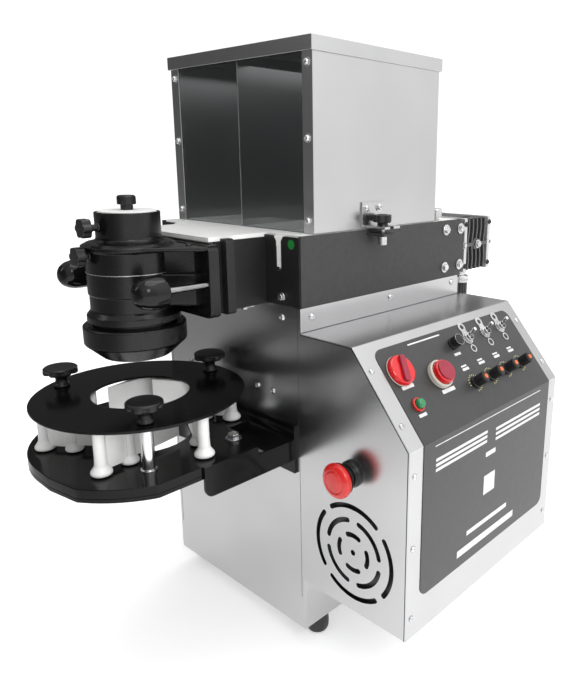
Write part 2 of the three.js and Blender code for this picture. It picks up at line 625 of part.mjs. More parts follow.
// ---------------------------------------------------------------- control box
function buildControlBox() {
  const { inner, outer, front, back, bottom, top } = BOX;
  const run = outer - PANEL.slopeX;
  const rise = top - PANEL.kneeZ;
  const slope = Math.hypot(run, rise);
  const across = rise / slope;
  const up = run / slope;

  // The side outline, drawn in by an even distance on its sloping and upright outer faces.
  function outline(inset, left, low, high) {
    const x = outer - inset;
    const lineAt = (px) => top - inset / up - ((px - PANEL.slopeX) * rise) / run;
    const slopeTop = PANEL.slopeX + ((top - inset / up - high) * run) / rise;
    return [[left, low], [x, low], [x, lineAt(x)], [slopeTop, high], [left, high]];
  }

  const skin = PANEL.sheet + GAP;
  const hull = facing(polygon(outline(skin, inner, bottom, top)), front, back);
  const hollow = facing(
    polygon(outline(-5, inner + PANEL.sheet, bottom + PANEL.sheet, top - PANEL.sheet)),
    front + PANEL.sheet, back - PANEL.sheet);
  let shell = cut(hull, hollow);
  shell = cut(shell, barY(ESTOP.hole, ESTOP.x, ESTOP.z, front - 1, front + 5));
  shell = cut(shell, box(inner - 1, inner + 5, 190, 250, 150, 210));
  VENT.rings.forEach((radius, index) => {
    for (let i = 0; i < 4; i += 1) {
      const middle = (i + (index % 2) * 0.5) * (Math.PI / 2);
      const half = Math.PI / 4 - 8.5 / radius;
      const slot = new THREE.Shape();
      const rim = VENT.width / 2;
      slot.absarc(0, 0, radius + rim, middle - half, middle + half, false);
      slot.absarc(
        radius * Math.cos(middle + half), radius * Math.sin(middle + half), rim,
        middle + half, middle + half + Math.PI, false);
      slot.absarc(0, 0, radius - rim, middle + half, middle - half, true);
      slot.absarc(
        radius * Math.cos(middle - half), radius * Math.sin(middle - half), rim,
        middle - half + Math.PI, middle - half + 2 * Math.PI, false);
      const cutter = facing(slot, front - 1, front + 5, index > 1 ? 2 : 1);
      shell = cut(shell, move(cutter, VENT.x, 0, VENT.z));
    }
  });
  shell = cut(shell, barY(3, VENT.x, VENT.z, front - 1, front + 5, 14));
  add(machine, "control_box", shell, STEEL);

  let board = box(inner + 6, inner + 9, 50, 290, 100, 360);
  board = join(board, box(inner + 8, inner + 62, 70, 140, 120, 240));
  board = join(board, box(inner + 8, inner + 62, 170, 240, 220, 340));
  board = join(board, box(inner + 8, inner + 30, 160, 270, 120, 150));
  add(machine, "control_board", board, BOARD);

  // Panel pieces are built in the slope's own frame: x down the slope, y along it, z outwards.
  const desk = new THREE.Group();
  desk.position.set(PANEL.slopeX, front, top);
  desk.rotation.y = Math.atan2(across, up);
  machine.add(desk);
  const holes = [
    [42, 47, 11.7], [62, 103, 11.7], [83.5, 46, 6.5], [33, 157, 6.5],
    [32, 191, 5.4], [32, 231.5, 5.4], [32, 269, 5.4],
    [87, 157, 3.6], [87, 192.5, 3.6], [87, 228.5, 3.6], [87, 264, 3.6],
  ];

  // Cuts the controls' holes through a sheet that lies on the slope.
  const tilt = new THREE.Quaternion().setFromEuler(desk.rotation);
  const fromDesk = new THREE.Matrix4().compose(desk.position, tilt, new THREE.Vector3(1, 1, 1));
  function drill(sheet) {
    return holes.reduce((rest, [u, v, radius]) => {
      const geometry = new THREE.CylinderGeometry(radius, radius, 40, 10);
      geometry.rotateX(Math.PI / 2).translate(u, v, 0).applyMatrix4(fromDesk);
      return cut(rest, solid(geometry));
    }, sheet);
  }

  // The bent panel follows the slope and the upright face. Its screws stand on both margins.
  const outside = outline(0, 0, bottom, top);
  const within = outline(PANEL.sheet, 0, bottom, top);
  const sheet = polygon([
    outside[3], outside[2], outside[1], within[1], within[2], within[3],
  ]);
  let panel = drill(facing(sheet, front, back));
  for (const y of [front + 10, front + 317]) {
    for (const z of [268, 184, 98]) {
      panel = join(panel, barX(PANEL.screw, y, z, outer - 1, outer + 2));
    }
    for (const u of [31, 97]) {
      const geometry = new THREE.CylinderGeometry(PANEL.screw, PANEL.screw, 3, 8);
      geometry.rotateX(Math.PI / 2).translate(u, y - front, 0.5).applyMatrix4(fromDesk);
      panel = join(panel, solid(geometry));
    }
  }
  add(machine, "control_panel", panel, STEEL);

  const above = outline(-GAP / 3 - PANEL.overlay, 0, bottom, top);
  const under = outline(-GAP / 3, 0, bottom, top);
  const edge = 11 / slope;
  const start = (from, to) => [
    from[0] + (to[0] - from[0]) * edge, from[1] + (to[1] - from[1]) * edge];
  const foil = polygon([
    start(above[3], above[2]), above[2], [above[1][0], 117], [under[1][0], 117],
    under[2], start(under[3], under[2]),
  ]);
  add(machine, "panel_overlay", drill(facing(foil, front + 24, back - 21)), OVERLAY);

  buildControls(desk, holes);
}

function buildControls(desk, holes) {
  const seat = PANEL.overlay + GAP + 0.1;
  const place = (name, made, [u, v], material) =>
    add(desk, name, move(made, u, v, seat), material);

  const dial = turned([[0, -9], [10.9, -9], [10.9, GAP], [17.5, GAP], [18, 3], [16.5, 8], [0, 8]]);
  const bar = raised(roundedRectangle(-15, 15, -4, 4, 3.5), 7, 17, 3);
  place("selector_knob", join(dial, bar), holes[0], RED);

  const bezel = turned([
    [8, -9], [10.9, -9], [10.9, GAP], [17, GAP], [17, 6], [15.6, 7], [14.6, 7], [14.6, 2], [8, 2],
    [8, -9],
  ]);
  place("push_bezel", bezel, holes[1], GREY);
  const cap = turned([[0, -8], [7.6, -8], [7.6, 6.5], [14.2, 6.5], [14.2, 13], [12, 16], [0, 16]]);
  place("push_cap", cap, holes[1], RED);

  const reset = turned([[0, -8], [5.6, -8], [5.6, 3.6], [6, 3.8], [5.6, 7], [3, 9], [0, 9.5]], 12);
  place("reset_cap", reset, holes[2], GREEN);
  const fuse = turned([[0, -8], [5.8, -8], [5.8, GAP], [7.5, GAP], [7.5, 10], [6, 14], [0, 14]], 16);
  place("fuse_cap", fuse, holes[3], BLACK_PLASTIC);

  for (let i = 0; i < 3; i += 1) {
    const lever = turned([
      [0, -4.6], [2.6, -3.8], [4.4, 0], [2, 4], [2.7, 17], [1.8, 19.5], [0, 19.5],
    ], 10);
    const group = new THREE.Group();
    group.position.set(holes[4 + i][0], holes[4 + i][1], seat);
    group.rotation.y = radians(-14);
    desk.add(group);
    add(group, `toggle_lever_${i + 1}`, lever, CHROME);
  }

  for (let i = 0; i < 4; i += 1) {
    const knob = turned([
      [0, -8], [3.1, -8], [3.1, GAP + 0.5], [7.6, GAP + 0.5], [6.4, 4], [6, 20], [0, 20],
    ], 12);
    place(`speed_knob_${i + 1}`, knob, holes[7 + i], BLACK_PLASTIC);
  }

  const { x, z } = ESTOP;
  const face = BOX.front;
  add(machine, "estop_collar", turnedForward([
    [7.2, -12], [11, -12], [11, GAP], [15.5, GAP], [15.5, 3], [14, 8], [7.2, 8], [7.2, -12],
  ], x, face, z), BLACK_PLASTIC);
  add(machine, "estop_head", turnedForward([
    [0, -10], [6.8, -10], [6.8, 13], [14.5, 13], [14.5, 16], [18.5, 20], [20, 22.5], [20, 25.5],
    [17.5, 29], [11, 30.5], [0, 30.5],
  ], x, face, z), RED);
}

// ---------------------------------------------------------------- assembly
buildColumn();
buildHousing();
buildPumpBlock();
buildAuger("dough_auger", -AUGER.x, 1);
buildAuger("filling_auger", AUGER.x, -1);
buildGearmotor("gearmotor_right", 1);
buildGearmotor("gearmotor_left", -1);
buildHopper();
buildHead();
buildCutterFrame();
buildCutterDrive();
buildBlades();
buildControlBox();

machine.updateMatrixWorld(true);
const bounds = new THREE.Box3().setFromObject(machine);
machine.position.set(
  -(bounds.min.x + bounds.max.x) / 2, -(bounds.min.y + bounds.max.y) / 2, -bounds.min.z);

const group = new THREE.Group();
group.add(machine);
export default group;
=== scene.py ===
"""Looks of a table-top snack forming machine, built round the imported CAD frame."""
import math

import bmesh
import bpy
from mathutils import Matrix, Vector


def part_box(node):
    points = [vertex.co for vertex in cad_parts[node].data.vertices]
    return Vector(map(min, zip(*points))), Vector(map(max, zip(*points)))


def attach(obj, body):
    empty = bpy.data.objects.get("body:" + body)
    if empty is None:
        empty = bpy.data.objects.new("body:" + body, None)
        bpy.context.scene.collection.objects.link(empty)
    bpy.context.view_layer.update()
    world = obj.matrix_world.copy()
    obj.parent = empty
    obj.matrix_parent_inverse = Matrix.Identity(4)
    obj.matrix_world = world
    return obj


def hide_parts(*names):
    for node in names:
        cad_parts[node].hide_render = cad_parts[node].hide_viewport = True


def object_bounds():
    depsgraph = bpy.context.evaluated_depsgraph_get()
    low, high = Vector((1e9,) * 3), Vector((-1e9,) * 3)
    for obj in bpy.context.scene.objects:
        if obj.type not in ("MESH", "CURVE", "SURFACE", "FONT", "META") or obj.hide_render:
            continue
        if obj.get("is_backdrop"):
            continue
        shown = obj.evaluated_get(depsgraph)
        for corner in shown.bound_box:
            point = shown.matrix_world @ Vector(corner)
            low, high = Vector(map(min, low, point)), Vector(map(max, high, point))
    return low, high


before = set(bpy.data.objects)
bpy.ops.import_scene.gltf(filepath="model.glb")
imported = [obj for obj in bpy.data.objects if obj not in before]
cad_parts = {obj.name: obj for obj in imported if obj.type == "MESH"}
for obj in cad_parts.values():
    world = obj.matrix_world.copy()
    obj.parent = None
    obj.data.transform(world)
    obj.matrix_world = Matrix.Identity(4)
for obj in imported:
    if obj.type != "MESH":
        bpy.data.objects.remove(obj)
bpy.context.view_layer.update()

# Every shape is written in millimetres in the machine's own frame: X = 0 is the column's mid-plane,
# Y = 0 its front face and Z = 0 its underside. WORK takes that frame into the row frame in metres.
column_low, column_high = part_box("column_shell")
ORIGIN = Vector(((column_low.x + column_high.x) / 2, column_low.y, column_low.z))
WORK = Matrix.Translation(ORIGIN) @ Matrix.Scale(0.001, 4)
UPRIGHT = Matrix.Identity(4)
FORWARD = Matrix.Rotation(math.pi / 2, 4, "X")  # local Z points to -Y, local Y points up
BACKWARD = Matrix.Rotation(-math.pi / 2, 4, "X")  # local Z points to +Y
SIDEWAYS = Matrix(((0, 0, 1, 0), (1, 0, 0, 0), (0, 1, 0, 0), (0, 0, 0, 1)))  # local Z to +X


def at(x, y, z, rotation=UPRIGHT):
    return Matrix.Translation((x, y, z)) @ rotation


def turned(degrees, axis="Z"):
    return Matrix.Rotation(math.radians(degrees), 4, axis)


def mirrored(side):
    """Swaps left and right where side is -1."""
    return Matrix.Scale(side, 4, (1, 0, 0))


def mm(node):
    """A CAD node's box in the machine's own millimetres."""
    low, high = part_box(node)
    return [(corner - ORIGIN) * 1000 for corner in (low, high)]


# Driving sizes and places, the same as the CAD part's
COLUMN_SIDE = 139
COLUMN_BACK = 318
HOUSING_SIDE = 141
HOUSING_LOW = 422.3
HOUSING_TOP = 504
HEAD_Y = -126.0
CLAMP_X = 83.5
CLAMP_Z = 454.5
PLATE_TOP = 270.0
RING_LOW = 320.0
RING_TOP = 323.0
# Radius and angle round the cutter's axis
STANDOFFS = [(100, -27 + 120 * i) for i in range(3)]
BLADE_PIVOTS = [(105, 7 + 60 * i) for i in range(6)]
LATCH_KNOB = (153, 125.5)  # X and Y
ESTOP = (221, 248)  # X and Z on the box's end
VENT = (223, 149.5)

# Places on the desk: down the slope, then along it
SELECTOR = (42, 47)
PUSH = (62, 103)
RESET = (83.5, 46)
FUSE = (33, 157)
TOGGLES = [(32, v) for v in (191, 231.5, 269)]
SPEED_KNOBS = [(87, v) for v in (157, 192.5, 228.5, 264)]

# The sloping desk of the control box: X down the slope, Y along it, Z outwards.
SLOPE_TOP = Vector((220.6, -2.0, 393.3))
KNEE = Vector((301.0, -2.0, 297.8))
DOWN = (KNEE - SLOPE_TOP).normalized()
OUT = Vector((-DOWN.z, 0, DOWN.x))
SLOPE_LENGTH = (KNEE - SLOPE_TOP).length
DESK = Matrix((
    (DOWN.x, 0, OUT.x, SLOPE_TOP.x), (0, 1, 0, SLOPE_TOP.y), (DOWN.z, 0, OUT.z, SLOPE_TOP.z),
    (0, 0, 0, 1)))
FACE = Matrix(((0, 0, 1, KNEE.x), (0, 1, 0, KNEE.y), (-1, 0, 0, KNEE.z), (0, 0, 0, 1)))


# --- materials
LOOKS = {}


class Tree:
    """Adds nodes to a node tree, with their inputs given as values or as other nodes' outputs."""

    def __init__(self, tree):
        self.tree = tree

    def add(self, kind, inputs=None, **settings):
        node = self.tree.nodes.new("ShaderNode" + kind)
        for key, value in settings.items():
            setattr(node, key, value)
        for socket, value in (inputs or {}).items():
            self.give(node.inputs[socket], value)
        return node

    def give(self, socket, value):
        if isinstance(value, bpy.types.NodeSocket):
            self.tree.links.new(value, socket)
        else:
            socket.default_value = value


class Look(Tree):
    """A node material with a record slot. Texture coordinates are the row frame, in metres."""

    def __init__(self, name, slot, color, roughness, metallic, **sockets):
        self.material = bpy.data.materials.new(name)
        self.material.use_nodes = True
        super().__init__(self.material.node_tree)
        self.slot = slot
        self.sockets = self.tree.nodes["Principled BSDF"].inputs
        values = {"Base_Color": (*color, 1), "Roughness": roughness, "Metallic": metallic}
        for socket, value in {**values, **sockets}.items():
            self.sockets[socket.replace("_", " ")].default_value = value
        LOOKS[name] = self

    def noise(self, scale, stretch=(1, 1, 1), detail=3.0, roughness=0.6):
        where = self.add("TexCoord").outputs["Object"]
        mapped = self.add("Mapping", {"Vector": where, "Scale": stretch}).outputs["Vector"]
        return self.add("TexNoise", {
            "Vector": mapped, "Scale": scale, "Detail": detail,
            "Roughness": roughness}).outputs["Fac"]

    def ramp(self, value, low, high, start=0.3, end=0.7):
        return self.add("MapRange", {
            "Value": value, "From Min": start, "From Max": end, "To Min": low,
            "To Max": high}).outputs["Result"]

    def vary_roughness(self, value, low, high):
        self.give(self.sockets["Roughness"], self.ramp(value, low, high))

    def vary_color(self, value, low, high, start=0.3, end=0.7):
        factor = self.ramp(value, 0, 1, start, end)
        self.mix_color(factor, (*low, 1), (*high, 1))

    def mix_color(self, factor, first, second):
        mix = self.add("Mix", {"Factor": factor, "A": first, "B": second}, data_type="RGBA")
        self.color = mix.outputs["Result"]
        self.give(self.sockets["Base Color"], self.color)

    def bump(self, value, strength, distance):
        """Adds fine relief, on top of any that the look already has."""
        node = self.add("Bump", {"Height": value, "Strength": strength, "Distance": distance})
        normal = self.sockets["Normal"]
        if normal.is_linked:
            self.give(node.inputs["Normal"], normal.links[0].from_socket)
        self.give(normal, node.outputs["Normal"])


def grey(value):
    return (value, value, value * 1.01)


def brushed(name, stretch, dark=0.5, light=0.56, rough=(0.255, 0.27)):
    """Stainless sheet with fine grain along the axis that stretch shrinks."""
    look = Look(name, "stainless", grey(light), rough[0], 1.0)
    grain = look.noise(2600, stretch, 4.0, 0.7)
    look.vary_roughness(look.noise(900, stretch, 3.0), *rough)
    look.vary_color(look.noise(7, detail=2.0), grey(dark), grey(light), 0.25, 0.75)
    look.mix_color(look.ramp(grain, 0, 0.06), look.color, (*grey(dark * 0.85), 1))
    look.bump(grain, 0.01, 0.00004)
    look.bump(look.noise(11, detail=1.0), 0.04, 0.0006)


def coated(name, slot, base, light, rough, grain, strength, distance, **sockets):
    """A painted or moulded surface with a skin of its own."""
    look = Look(name, slot, base, rough[0], 0.0, **sockets)
    look.vary_color(look.noise(grain * 0.06, detail=4), base, light)
    look.vary_roughness(look.noise(grain * 0.13, detail=3), *rough)
    look.bump(look.noise(grain, detail=3), strength, distance)


brushed("steel_upright", (1, 1, 0.012))
brushed("steel_hopper", (1, 1, 0.012), 0.5, 0.55, (0.285, 0.29))
brushed("steel_level", (1, 0.012, 1))
brushed("steel_across", (0.012, 1, 1))


polish = Look("polish", "polished", grey(0.78), 0.1, 1.0)
polish.vary_roughness(polish.noise(90, detail=4), 0.06, 0.2)
polish.vary_color(polish.noise(25), grey(0.66), grey(0.84))
polish.bump(polish.noise(900), 0.04, 0.0001)

chrome = Look("dark_chrome", "polished", grey(0.3), 0.12, 1.0)
chrome.vary_roughness(chrome.noise(300), 0.1, 0.18)
chrome.vary_color(chrome.noise(60), grey(0.24), grey(0.34))
chrome.bump(chrome.noise(900), 0.04, 0.0001)

zinc = Look("zinc", "polished", grey(0.6), 0.25, 1.0)
zinc.vary_roughness(zinc.noise(400, detail=4), 0.16, 0.38)
zinc.vary_color(zinc.noise(120), grey(0.5), grey(0.72))
zinc.bump(zinc.noise(1500), 0.08, 0.0001)

coated("powder", "black_paint", grey(0.026), grey(0.034), (0.48, 0.6),
       1600, 0.2, 0.0003)
coated("satin_black", "black_paint", grey(0.008), grey(0.011), (0.4, 0.5),
       900, 0.04, 0.0001, Specular_IOR_Level=0.45)
coated("anodised", "black_metal", grey(0.003), grey(0.005),
       (0.24, 0.28), 1400, 0.03, 0.0001, Specular_IOR_Level=0.4)
coated("gloss_plate", "black_metal", grey(0.003), grey(0.004),
       (0.15, 0.18), 1200, 0.02, 0.0001, Specular_IOR_Level=0.2)

coated("black_moulded", "black_plastic", grey(0.008), grey(0.011), (0.32, 0.38),
       1300, 0.06, 0.0001, Specular_IOR_Level=0.4)
coated("black_glossy", "black_plastic", grey(0.004), grey(0.006), (0.06, 0.1),
       300, 0.02, 0.0002, Specular_IOR_Level=0.3)
coated("nylon_white", "nylon", (0.86, 0.86, 0.845), (0.92, 0.92, 0.91), (0.34, 0.48),
       800, 0.06, 0.0003, Subsurface_Weight=0.12, Subsurface_Radius=(0.004, 0.003, 0.002),
       Subsurface_Scale=0.6)
coated("overlay_film", "overlay", grey(0.036), grey(0.041), (0.36, 0.42), 1500,
       0.18, 0.0002)
coated("foot_rubber", "rubber", grey(0.01), grey(0.02), (0.35, 0.6), 900, 0.3, 0.0005)
coated("red_lens", "red_plastic", (0.56, 0.002, 0.004), (0.66, 0.004, 0.006),
       (0.14, 0.22), 600, 0.04, 0.0002, Coat_Weight=0.4, Coat_Roughness=0.06)
coated("crimson_lens", "red_plastic", (0.26, 0.003, 0.022), (0.33, 0.006, 0.034),
       (0.26, 0.36), 1800, 0.15, 0.0002, Coat_Weight=0.2, Coat_Roughness=0.15)
coated("stop_red", "red_plastic", (0.6, 0.012, 0.01), (0.72, 0.022, 0.018),
       (0.22, 0.34), 900, 0.08, 0.0003, Coat_Weight=0.3, Coat_Roughness=0.15)
coated("bezel_grey", "grey_plastic", (0.5, 0.48, 0.42), (0.6, 0.58, 0.52),
       (0.34, 0.48), 900, 0.12, 0.0003)
coated("green_lens", "green_plastic", (0.002, 0.16, 0.05), (0.006, 0.24, 0.08),
       (0.12, 0.22), 900, 0.05, 0.0002, Coat_Weight=0.6, Coat_Roughness=0.05)
coated("orange_tip", "red_plastic", (0.75, 0.11, 0.02), (0.85, 0.17, 0.04),
       (0.3, 0.4), 900, 0.08, 0.0002)
coated("yellow_ink", "overlay", (0.8, 0.72, 0.3), (0.86, 0.78, 0.36), (0.4, 0.5),
       1500, 0.06, 0.0001)
coated("white_ink", "overlay", grey(0.62), grey(0.78), (0.4, 0.5), 1500, 0.06,
       0.0001)
coated("green_spot", "green_plastic", (0.004, 0.17, 0.02), (0.008, 0.2, 0.03),
       (0.4, 0.5), 900, 0.05, 0.0002)
coated("red_ring", "red_plastic", (0.5, 0.02, 0.015), (0.62, 0.03, 0.02),
       (0.3, 0.4), 900, 0.06, 0.0002)
coated("circuit_board", "circuit", (0.01, 0.12, 0.05), (0.02, 0.2, 0.08), (0.3, 0.5),
       600, 0.2, 0.0004)


def cast_metal(name, dark, light):
    """A sand-cast surface with a fine, slightly uneven skin."""
    look = Look(name, "cast_aluminium", grey(light), 0.5, 0.7)
    look.vary_roughness(look.noise(300, detail=5), 0.4, 0.52)
    look.vary_color(look.noise(260, detail=5), grey(dark), grey(light))
    look.bump(look.noise(1100, detail=4), 0.18, 0.0003)


cast_metal("cast_motor", 0.1, 0.13)
cast_metal("cast_pale", 0.56, 0.64)

ribbed = Look("conduit_black", "cast_aluminium", grey(0.02), 0.4, 0.0)
ribbed.vary_roughness(ribbed.noise(500), 0.3, 0.5)
ribbed.vary_color(ribbed.noise(70), grey(0.014), grey(0.03))
ribbed.bump(ribbed.noise(1200), 0.1, 0.0003)

clear = Look("clear_sheet", "clear", (0.92, 0.95, 0.95), 0.03, 0.0, IOR=1.45,
             Transmission_Weight=1.0)
clear.vary_roughness(clear.noise(30, detail=5), 0.02, 0.07)
clear.bump(clear.noise(8, detail=1), 0.03, 0.0004)


# --- mesh builders, in millimetres
def placed(name, data):
    """A new object in the scene."""
    thing = bpy.data.objects.new(name, data)
    bpy.context.collection.objects.link(thing)
    return thing


def softened(points, radius, closed):
    """Replaces each corner of a line of (u, v) points with a short curve."""
    result = []
    count = len(points)
    for i, point in enumerate(points):
        here = Vector(point)
        before = Vector(points[i - 1]) - here
        after = Vector(points[(i + 1) % count]) - here
        end = not closed and i in (0, count - 1)
        short = min(before.length, after.length) < 1e-6
        if end or short or before.normalized().dot(after.normalized()) < -0.985:
            result.append(here)
            continue
        reach = min(radius, before.length * 0.45, after.length * 0.45)
        first = here + before.normalized() * reach
        last = here + after.normalized() * reach
        for t in (0, 0.33, 0.67, 1):
            result.append(first * (1 - t) ** 2 + here * 2 * t * (1 - t) + last * t * t)
    return result


def softened_loop(points, radius):
    return [tuple(point) for point in softened(points, radius, True)]


def disc(radius, low, high):
    """The profile of a plain disc, for lathe."""
    return [(0, low), (radius, low), (radius, high), (0, high)]


def tube(inner, outer, low, high):
    """The profile of a plain ring, for lathe."""
    return [(inner, low), (outer, low), (outer, high), (inner, high), (inner, low)]


def lathe(profile, radius, segments):
    """Turns (radius, height) points round Z. A profile that comes back to its start is a ring."""
    closed = profile[0] == profile[-1]
    points = softened(profile[:-1] if closed else profile, radius, closed)
    bm = bmesh.new()
    rings = []
    for reach, height in points:
        if reach < 1e-6:
            rings.append([bm.verts.new((0, 0, height))])
            continue
        rings.append([
            bm.verts.new((reach * math.cos(2 * math.pi * i / segments),
                          reach * math.sin(2 * math.pi * i / segments), height))
            for i in range(segments)])
    pairs = list(zip(rings, rings[1:]))
    if closed:
        pairs.append((rings[-1], rings[0]))
    for low, high in pairs:
        for i in range(segments):
            k = (i + 1) % segments
            corners = [low[i % len(low)], low[k % len(low)], high[k % len(high)],
                       high[i % len(high)]]
            distinct = list(dict.fromkeys(corners))
            if len(distinct) > 2:
                bm.faces.new(distinct)
    return bm


def plate(loops, low, high, bevel, steps):
    """A flat plate in X and Y. The first loop is its outline and the others are holes."""
    curve = bpy.data.curves.new("outline", "CURVE")
    curve.dimensions = "2D"
    curve.fill_mode = "BOTH"
    for loop in loops:
        spline = curve.splines.new("POLY")
        spline.points.add(len(loop) - 1)
        spline.use_cyclic_u = True
        for point, (u, v) in zip(spline.points, loop):
            point.co = (u, v, 0, 1)
    curve.extrude = max((high - low) / 2 - bevel, 0.0001)
    curve.bevel_depth = bevel
    curve.bevel_resolution = steps
    curve.offset = -bevel
    holder = placed("outline", curve)
    graph = bpy.context.evaluated_depsgraph_get()
    mesh = bpy.data.meshes.new_from_object(holder.evaluated_get(graph))
    bm = bmesh.new()
    bm.from_mesh(mesh)
    bpy.data.objects.remove(holder)
    bpy.data.curves.remove(curve)
    bpy.data.meshes.remove(mesh)
    bmesh.ops.remove_doubles(bm, verts=bm.verts, dist=0.001)
    bmesh.ops.translate(bm, verts=bm.verts, vec=(0, 0, (low + high) / 2))
    return bm


def slab(x0, x1, y0, y1, z0, z1, bevel, steps=2):
    """A box with rounded edges."""
    bm = bmesh.new()
    bmesh.ops.create_cube(bm, size=1)
    bmesh.ops.scale(bm, verts=bm.verts, vec=(x1 - x0, y1 - y0, z1 - z0))
    bmesh.ops.translate(bm, verts=bm.verts, vec=((x0 + x1) / 2, (y0 + y1) / 2, (z0 + z1) / 2))
    bmesh.ops.bevel(bm, geom=bm.edges[:], offset=bevel, segments=steps, profile=0.5,
                    affect="EDGES", clamp_overlap=True)
    return bm


def from_node(node, bevel, steps):
    """A CAD node's own shape, with its sharp edges rounded."""
    bm = bmesh.new()
    bm.from_mesh(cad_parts[node].data)
    bmesh.ops.transform(bm, matrix=WORK.inverted(), verts=bm.verts)
    bmesh.ops.remove_doubles(bm, verts=bm.verts, dist=0.001)
    bmesh.ops.dissolve_limit(bm, angle_limit=math.radians(0.6), verts=bm.verts, edges=bm.edges)
    edges = [e for e in bm.edges if len(e.link_faces) == 2
             and e.calc_face_angle(0) > math.radians(30)]
    if bevel > 0:
        bmesh.ops.bevel(bm, geom=edges, offset=bevel, segments=steps, profile=0.5,
                        affect="EDGES", clamp_overlap=True)
    return bm


def swept(points, reach):
    """A tube along points. reach gives the radius at each point's index."""
    segments = 24
    bm = bmesh.new()
    rings = []
    up = Vector((1, 0, 0))
    for i, point in enumerate(points):
        ahead = points[min(i + 1, len(points) - 1)] - points[max(i - 1, 0)]
        across = ahead.cross(up).normalized()
        other = across.cross(ahead).normalized()
        rings.append([
            bm.verts.new(point + reach(i) * (
                across * math.cos(2 * math.pi * k / segments)
                + other * math.sin(2 * math.pi * k / segments)))
            for k in range(segments)])
    for low, high in zip(rings, rings[1:]):
        for k in range(segments):
            n = (k + 1) % segments
            bm.faces.new((low[k], low[n], high[n], high[k]))
    bm.faces.new(rings[0])
    bm.faces.new(rings[-1])
    return bm


def merged(*parts):
    """One mesh from (mesh, matrix) pairs or bare meshes."""
    whole = bmesh.new()
    for part in parts:
        bm, matrix = part if isinstance(part, tuple) else (part, UPRIGHT)
        bmesh.ops.transform(bm, matrix=matrix, verts=bm.verts)
        bmesh.ops.recalc_face_normals(bm, faces=bm.faces)
        mesh = bpy.data.meshes.new("part")
        bm.to_mesh(mesh)
        bm.free()
        whole.from_mesh(mesh)
        bpy.data.meshes.remove(mesh)
    return whole


def circle(x, y, radius, count=64):
    return [(x + radius * math.cos(2 * math.pi * i / count),
             y + radius * math.sin(2 * math.pi * i / count)) for i in range(count)]


def arc(x, y, radius, first, last, count):
    return [(x + radius * math.cos(math.radians(first + (last - first) * i / count)),
             y + radius * math.sin(math.radians(first + (last - first) * i / count)))
            for i in range(count + 1)]


def rounded_rectangle(x0, x1, y0, y1, radius):
    count = 8
    return (arc(x1 - radius, y0 + radius, radius, -90, 0, count)
            + arc(x1 - radius, y1 - radius, radius, 0, 90, count)
            + arc(x0 + radius, y1 - radius, radius, 90, 180, count)
            + arc(x0 + radius, y0 + radius, radius, 180, 270, count))


def lobed(radius, depth, lobes, width=0.5):
    """A round outline with narrow scoops cut into it."""
    points = []
    count = 140
    for i in range(count):
        angle = 2 * math.pi * i / count
        nearest = (angle * lobes / (2 * math.pi)) % 1 - 0.5
        reach = radius - depth * math.exp(-((nearest / width) ** 2) * 4)
        points.append((reach * math.cos(angle), reach * math.sin(angle)))
    return points


def polar(radius, degrees):
    return radius * math.cos(math.radians(degrees)), radius * math.sin(math.radians(degrees))


def make(name, bm, look, body="frame", matrix=UPRIGHT, stands_for=(), sharp=34):
    """Turns a mesh in millimetres into a finished piece."""
    bmesh.ops.transform(bm, matrix=WORK @ matrix, verts=bm.verts)
    bmesh.ops.recalc_face_normals(bm, faces=bm.faces)
    mesh = bpy.data.meshes.new(name)
    bm.to_mesh(mesh)
    bm.free()
    mesh.polygons.foreach_set("use_smooth", [True] * len(mesh.polygons))
    mesh.set_sharp_from_angle(angle=math.radians(sharp))
    piece = placed(name, mesh)
    even = piece.modifiers.new("flat_faces_stay_flat", "WEIGHTED_NORMAL")
    even.keep_sharp = True
    even.weight = 80
    mesh.materials.append(LOOKS[look].material)
    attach(piece, body)
    if stands_for:
        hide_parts(*([stands_for] if isinstance(stands_for, str) else stands_for))
    return piece


def dress(node, look):
    """Gives a CAD node that stays a finished material."""
    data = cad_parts[node].data
    data.materials.clear()
    data.materials.append(LOOKS[look].material)


def refine(node, look, bevel, steps, body="frame"):
    """Replaces a CAD node with the same shape, its edges rounded."""
    return make(node + "_shape", from_node(node, bevel, steps), look, body, stands_for=node)


def pan_head(radius, height):
    """A domed screw head with a driver recess."""
    return lathe([
        (0, height * 0.5), (radius * 0.3, height * 0.5), (radius * 0.38, height),
        (radius * 0.72, height * 0.86), (radius, height * 0.3), (radius, 0), (0, 0)], 0.3, 28)


def hex_bolt(across, head, washer, thickness=1.6):
    """A hexagon head on a flat washer."""
    collar = lathe(disc(washer, 0, thickness), 0.4, 40)
    cap = plate([circle(0, 0, across / math.sqrt(3), 6)], thickness, thickness + head, 0.7, 2)
    return merged(collar, cap)


def washer_screw(radius):
    """A domed screw on a flat washer of the given radius."""
    return merged(lathe(disc(radius, 0, 0.9), 0.2, 28), (pan_head(4, 2.9), at(0, 0, 0.8)))


def facing(x, y, z, normal, spin=0.0):
    """A place whose Z points along normal, turned by spin in degrees."""
    turn = Vector(normal).to_track_quat("Z", "Y").to_matrix().to_4x4()
    return at(x, y, z, turn @ turned(spin))


def row_of(name, look, shape, places, matrix=UPRIGHT):
    """Several copies of a small fastener as one piece."""
    make(name, merged(*[(shape(), place) for place in places]), look, matrix=matrix)


def printed(name, rows, look, matrix):
    """Thin bars in ink, one for each (u, v, width down, length along)."""
    bars = [slab(u - du / 2, u + du / 2, v - dv / 2, v + dv / 2, -0.08, 0.04, 0.05, 1)
            for u, v, du, dv in rows]
    make(name, merged(*bars), look, matrix=matrix)


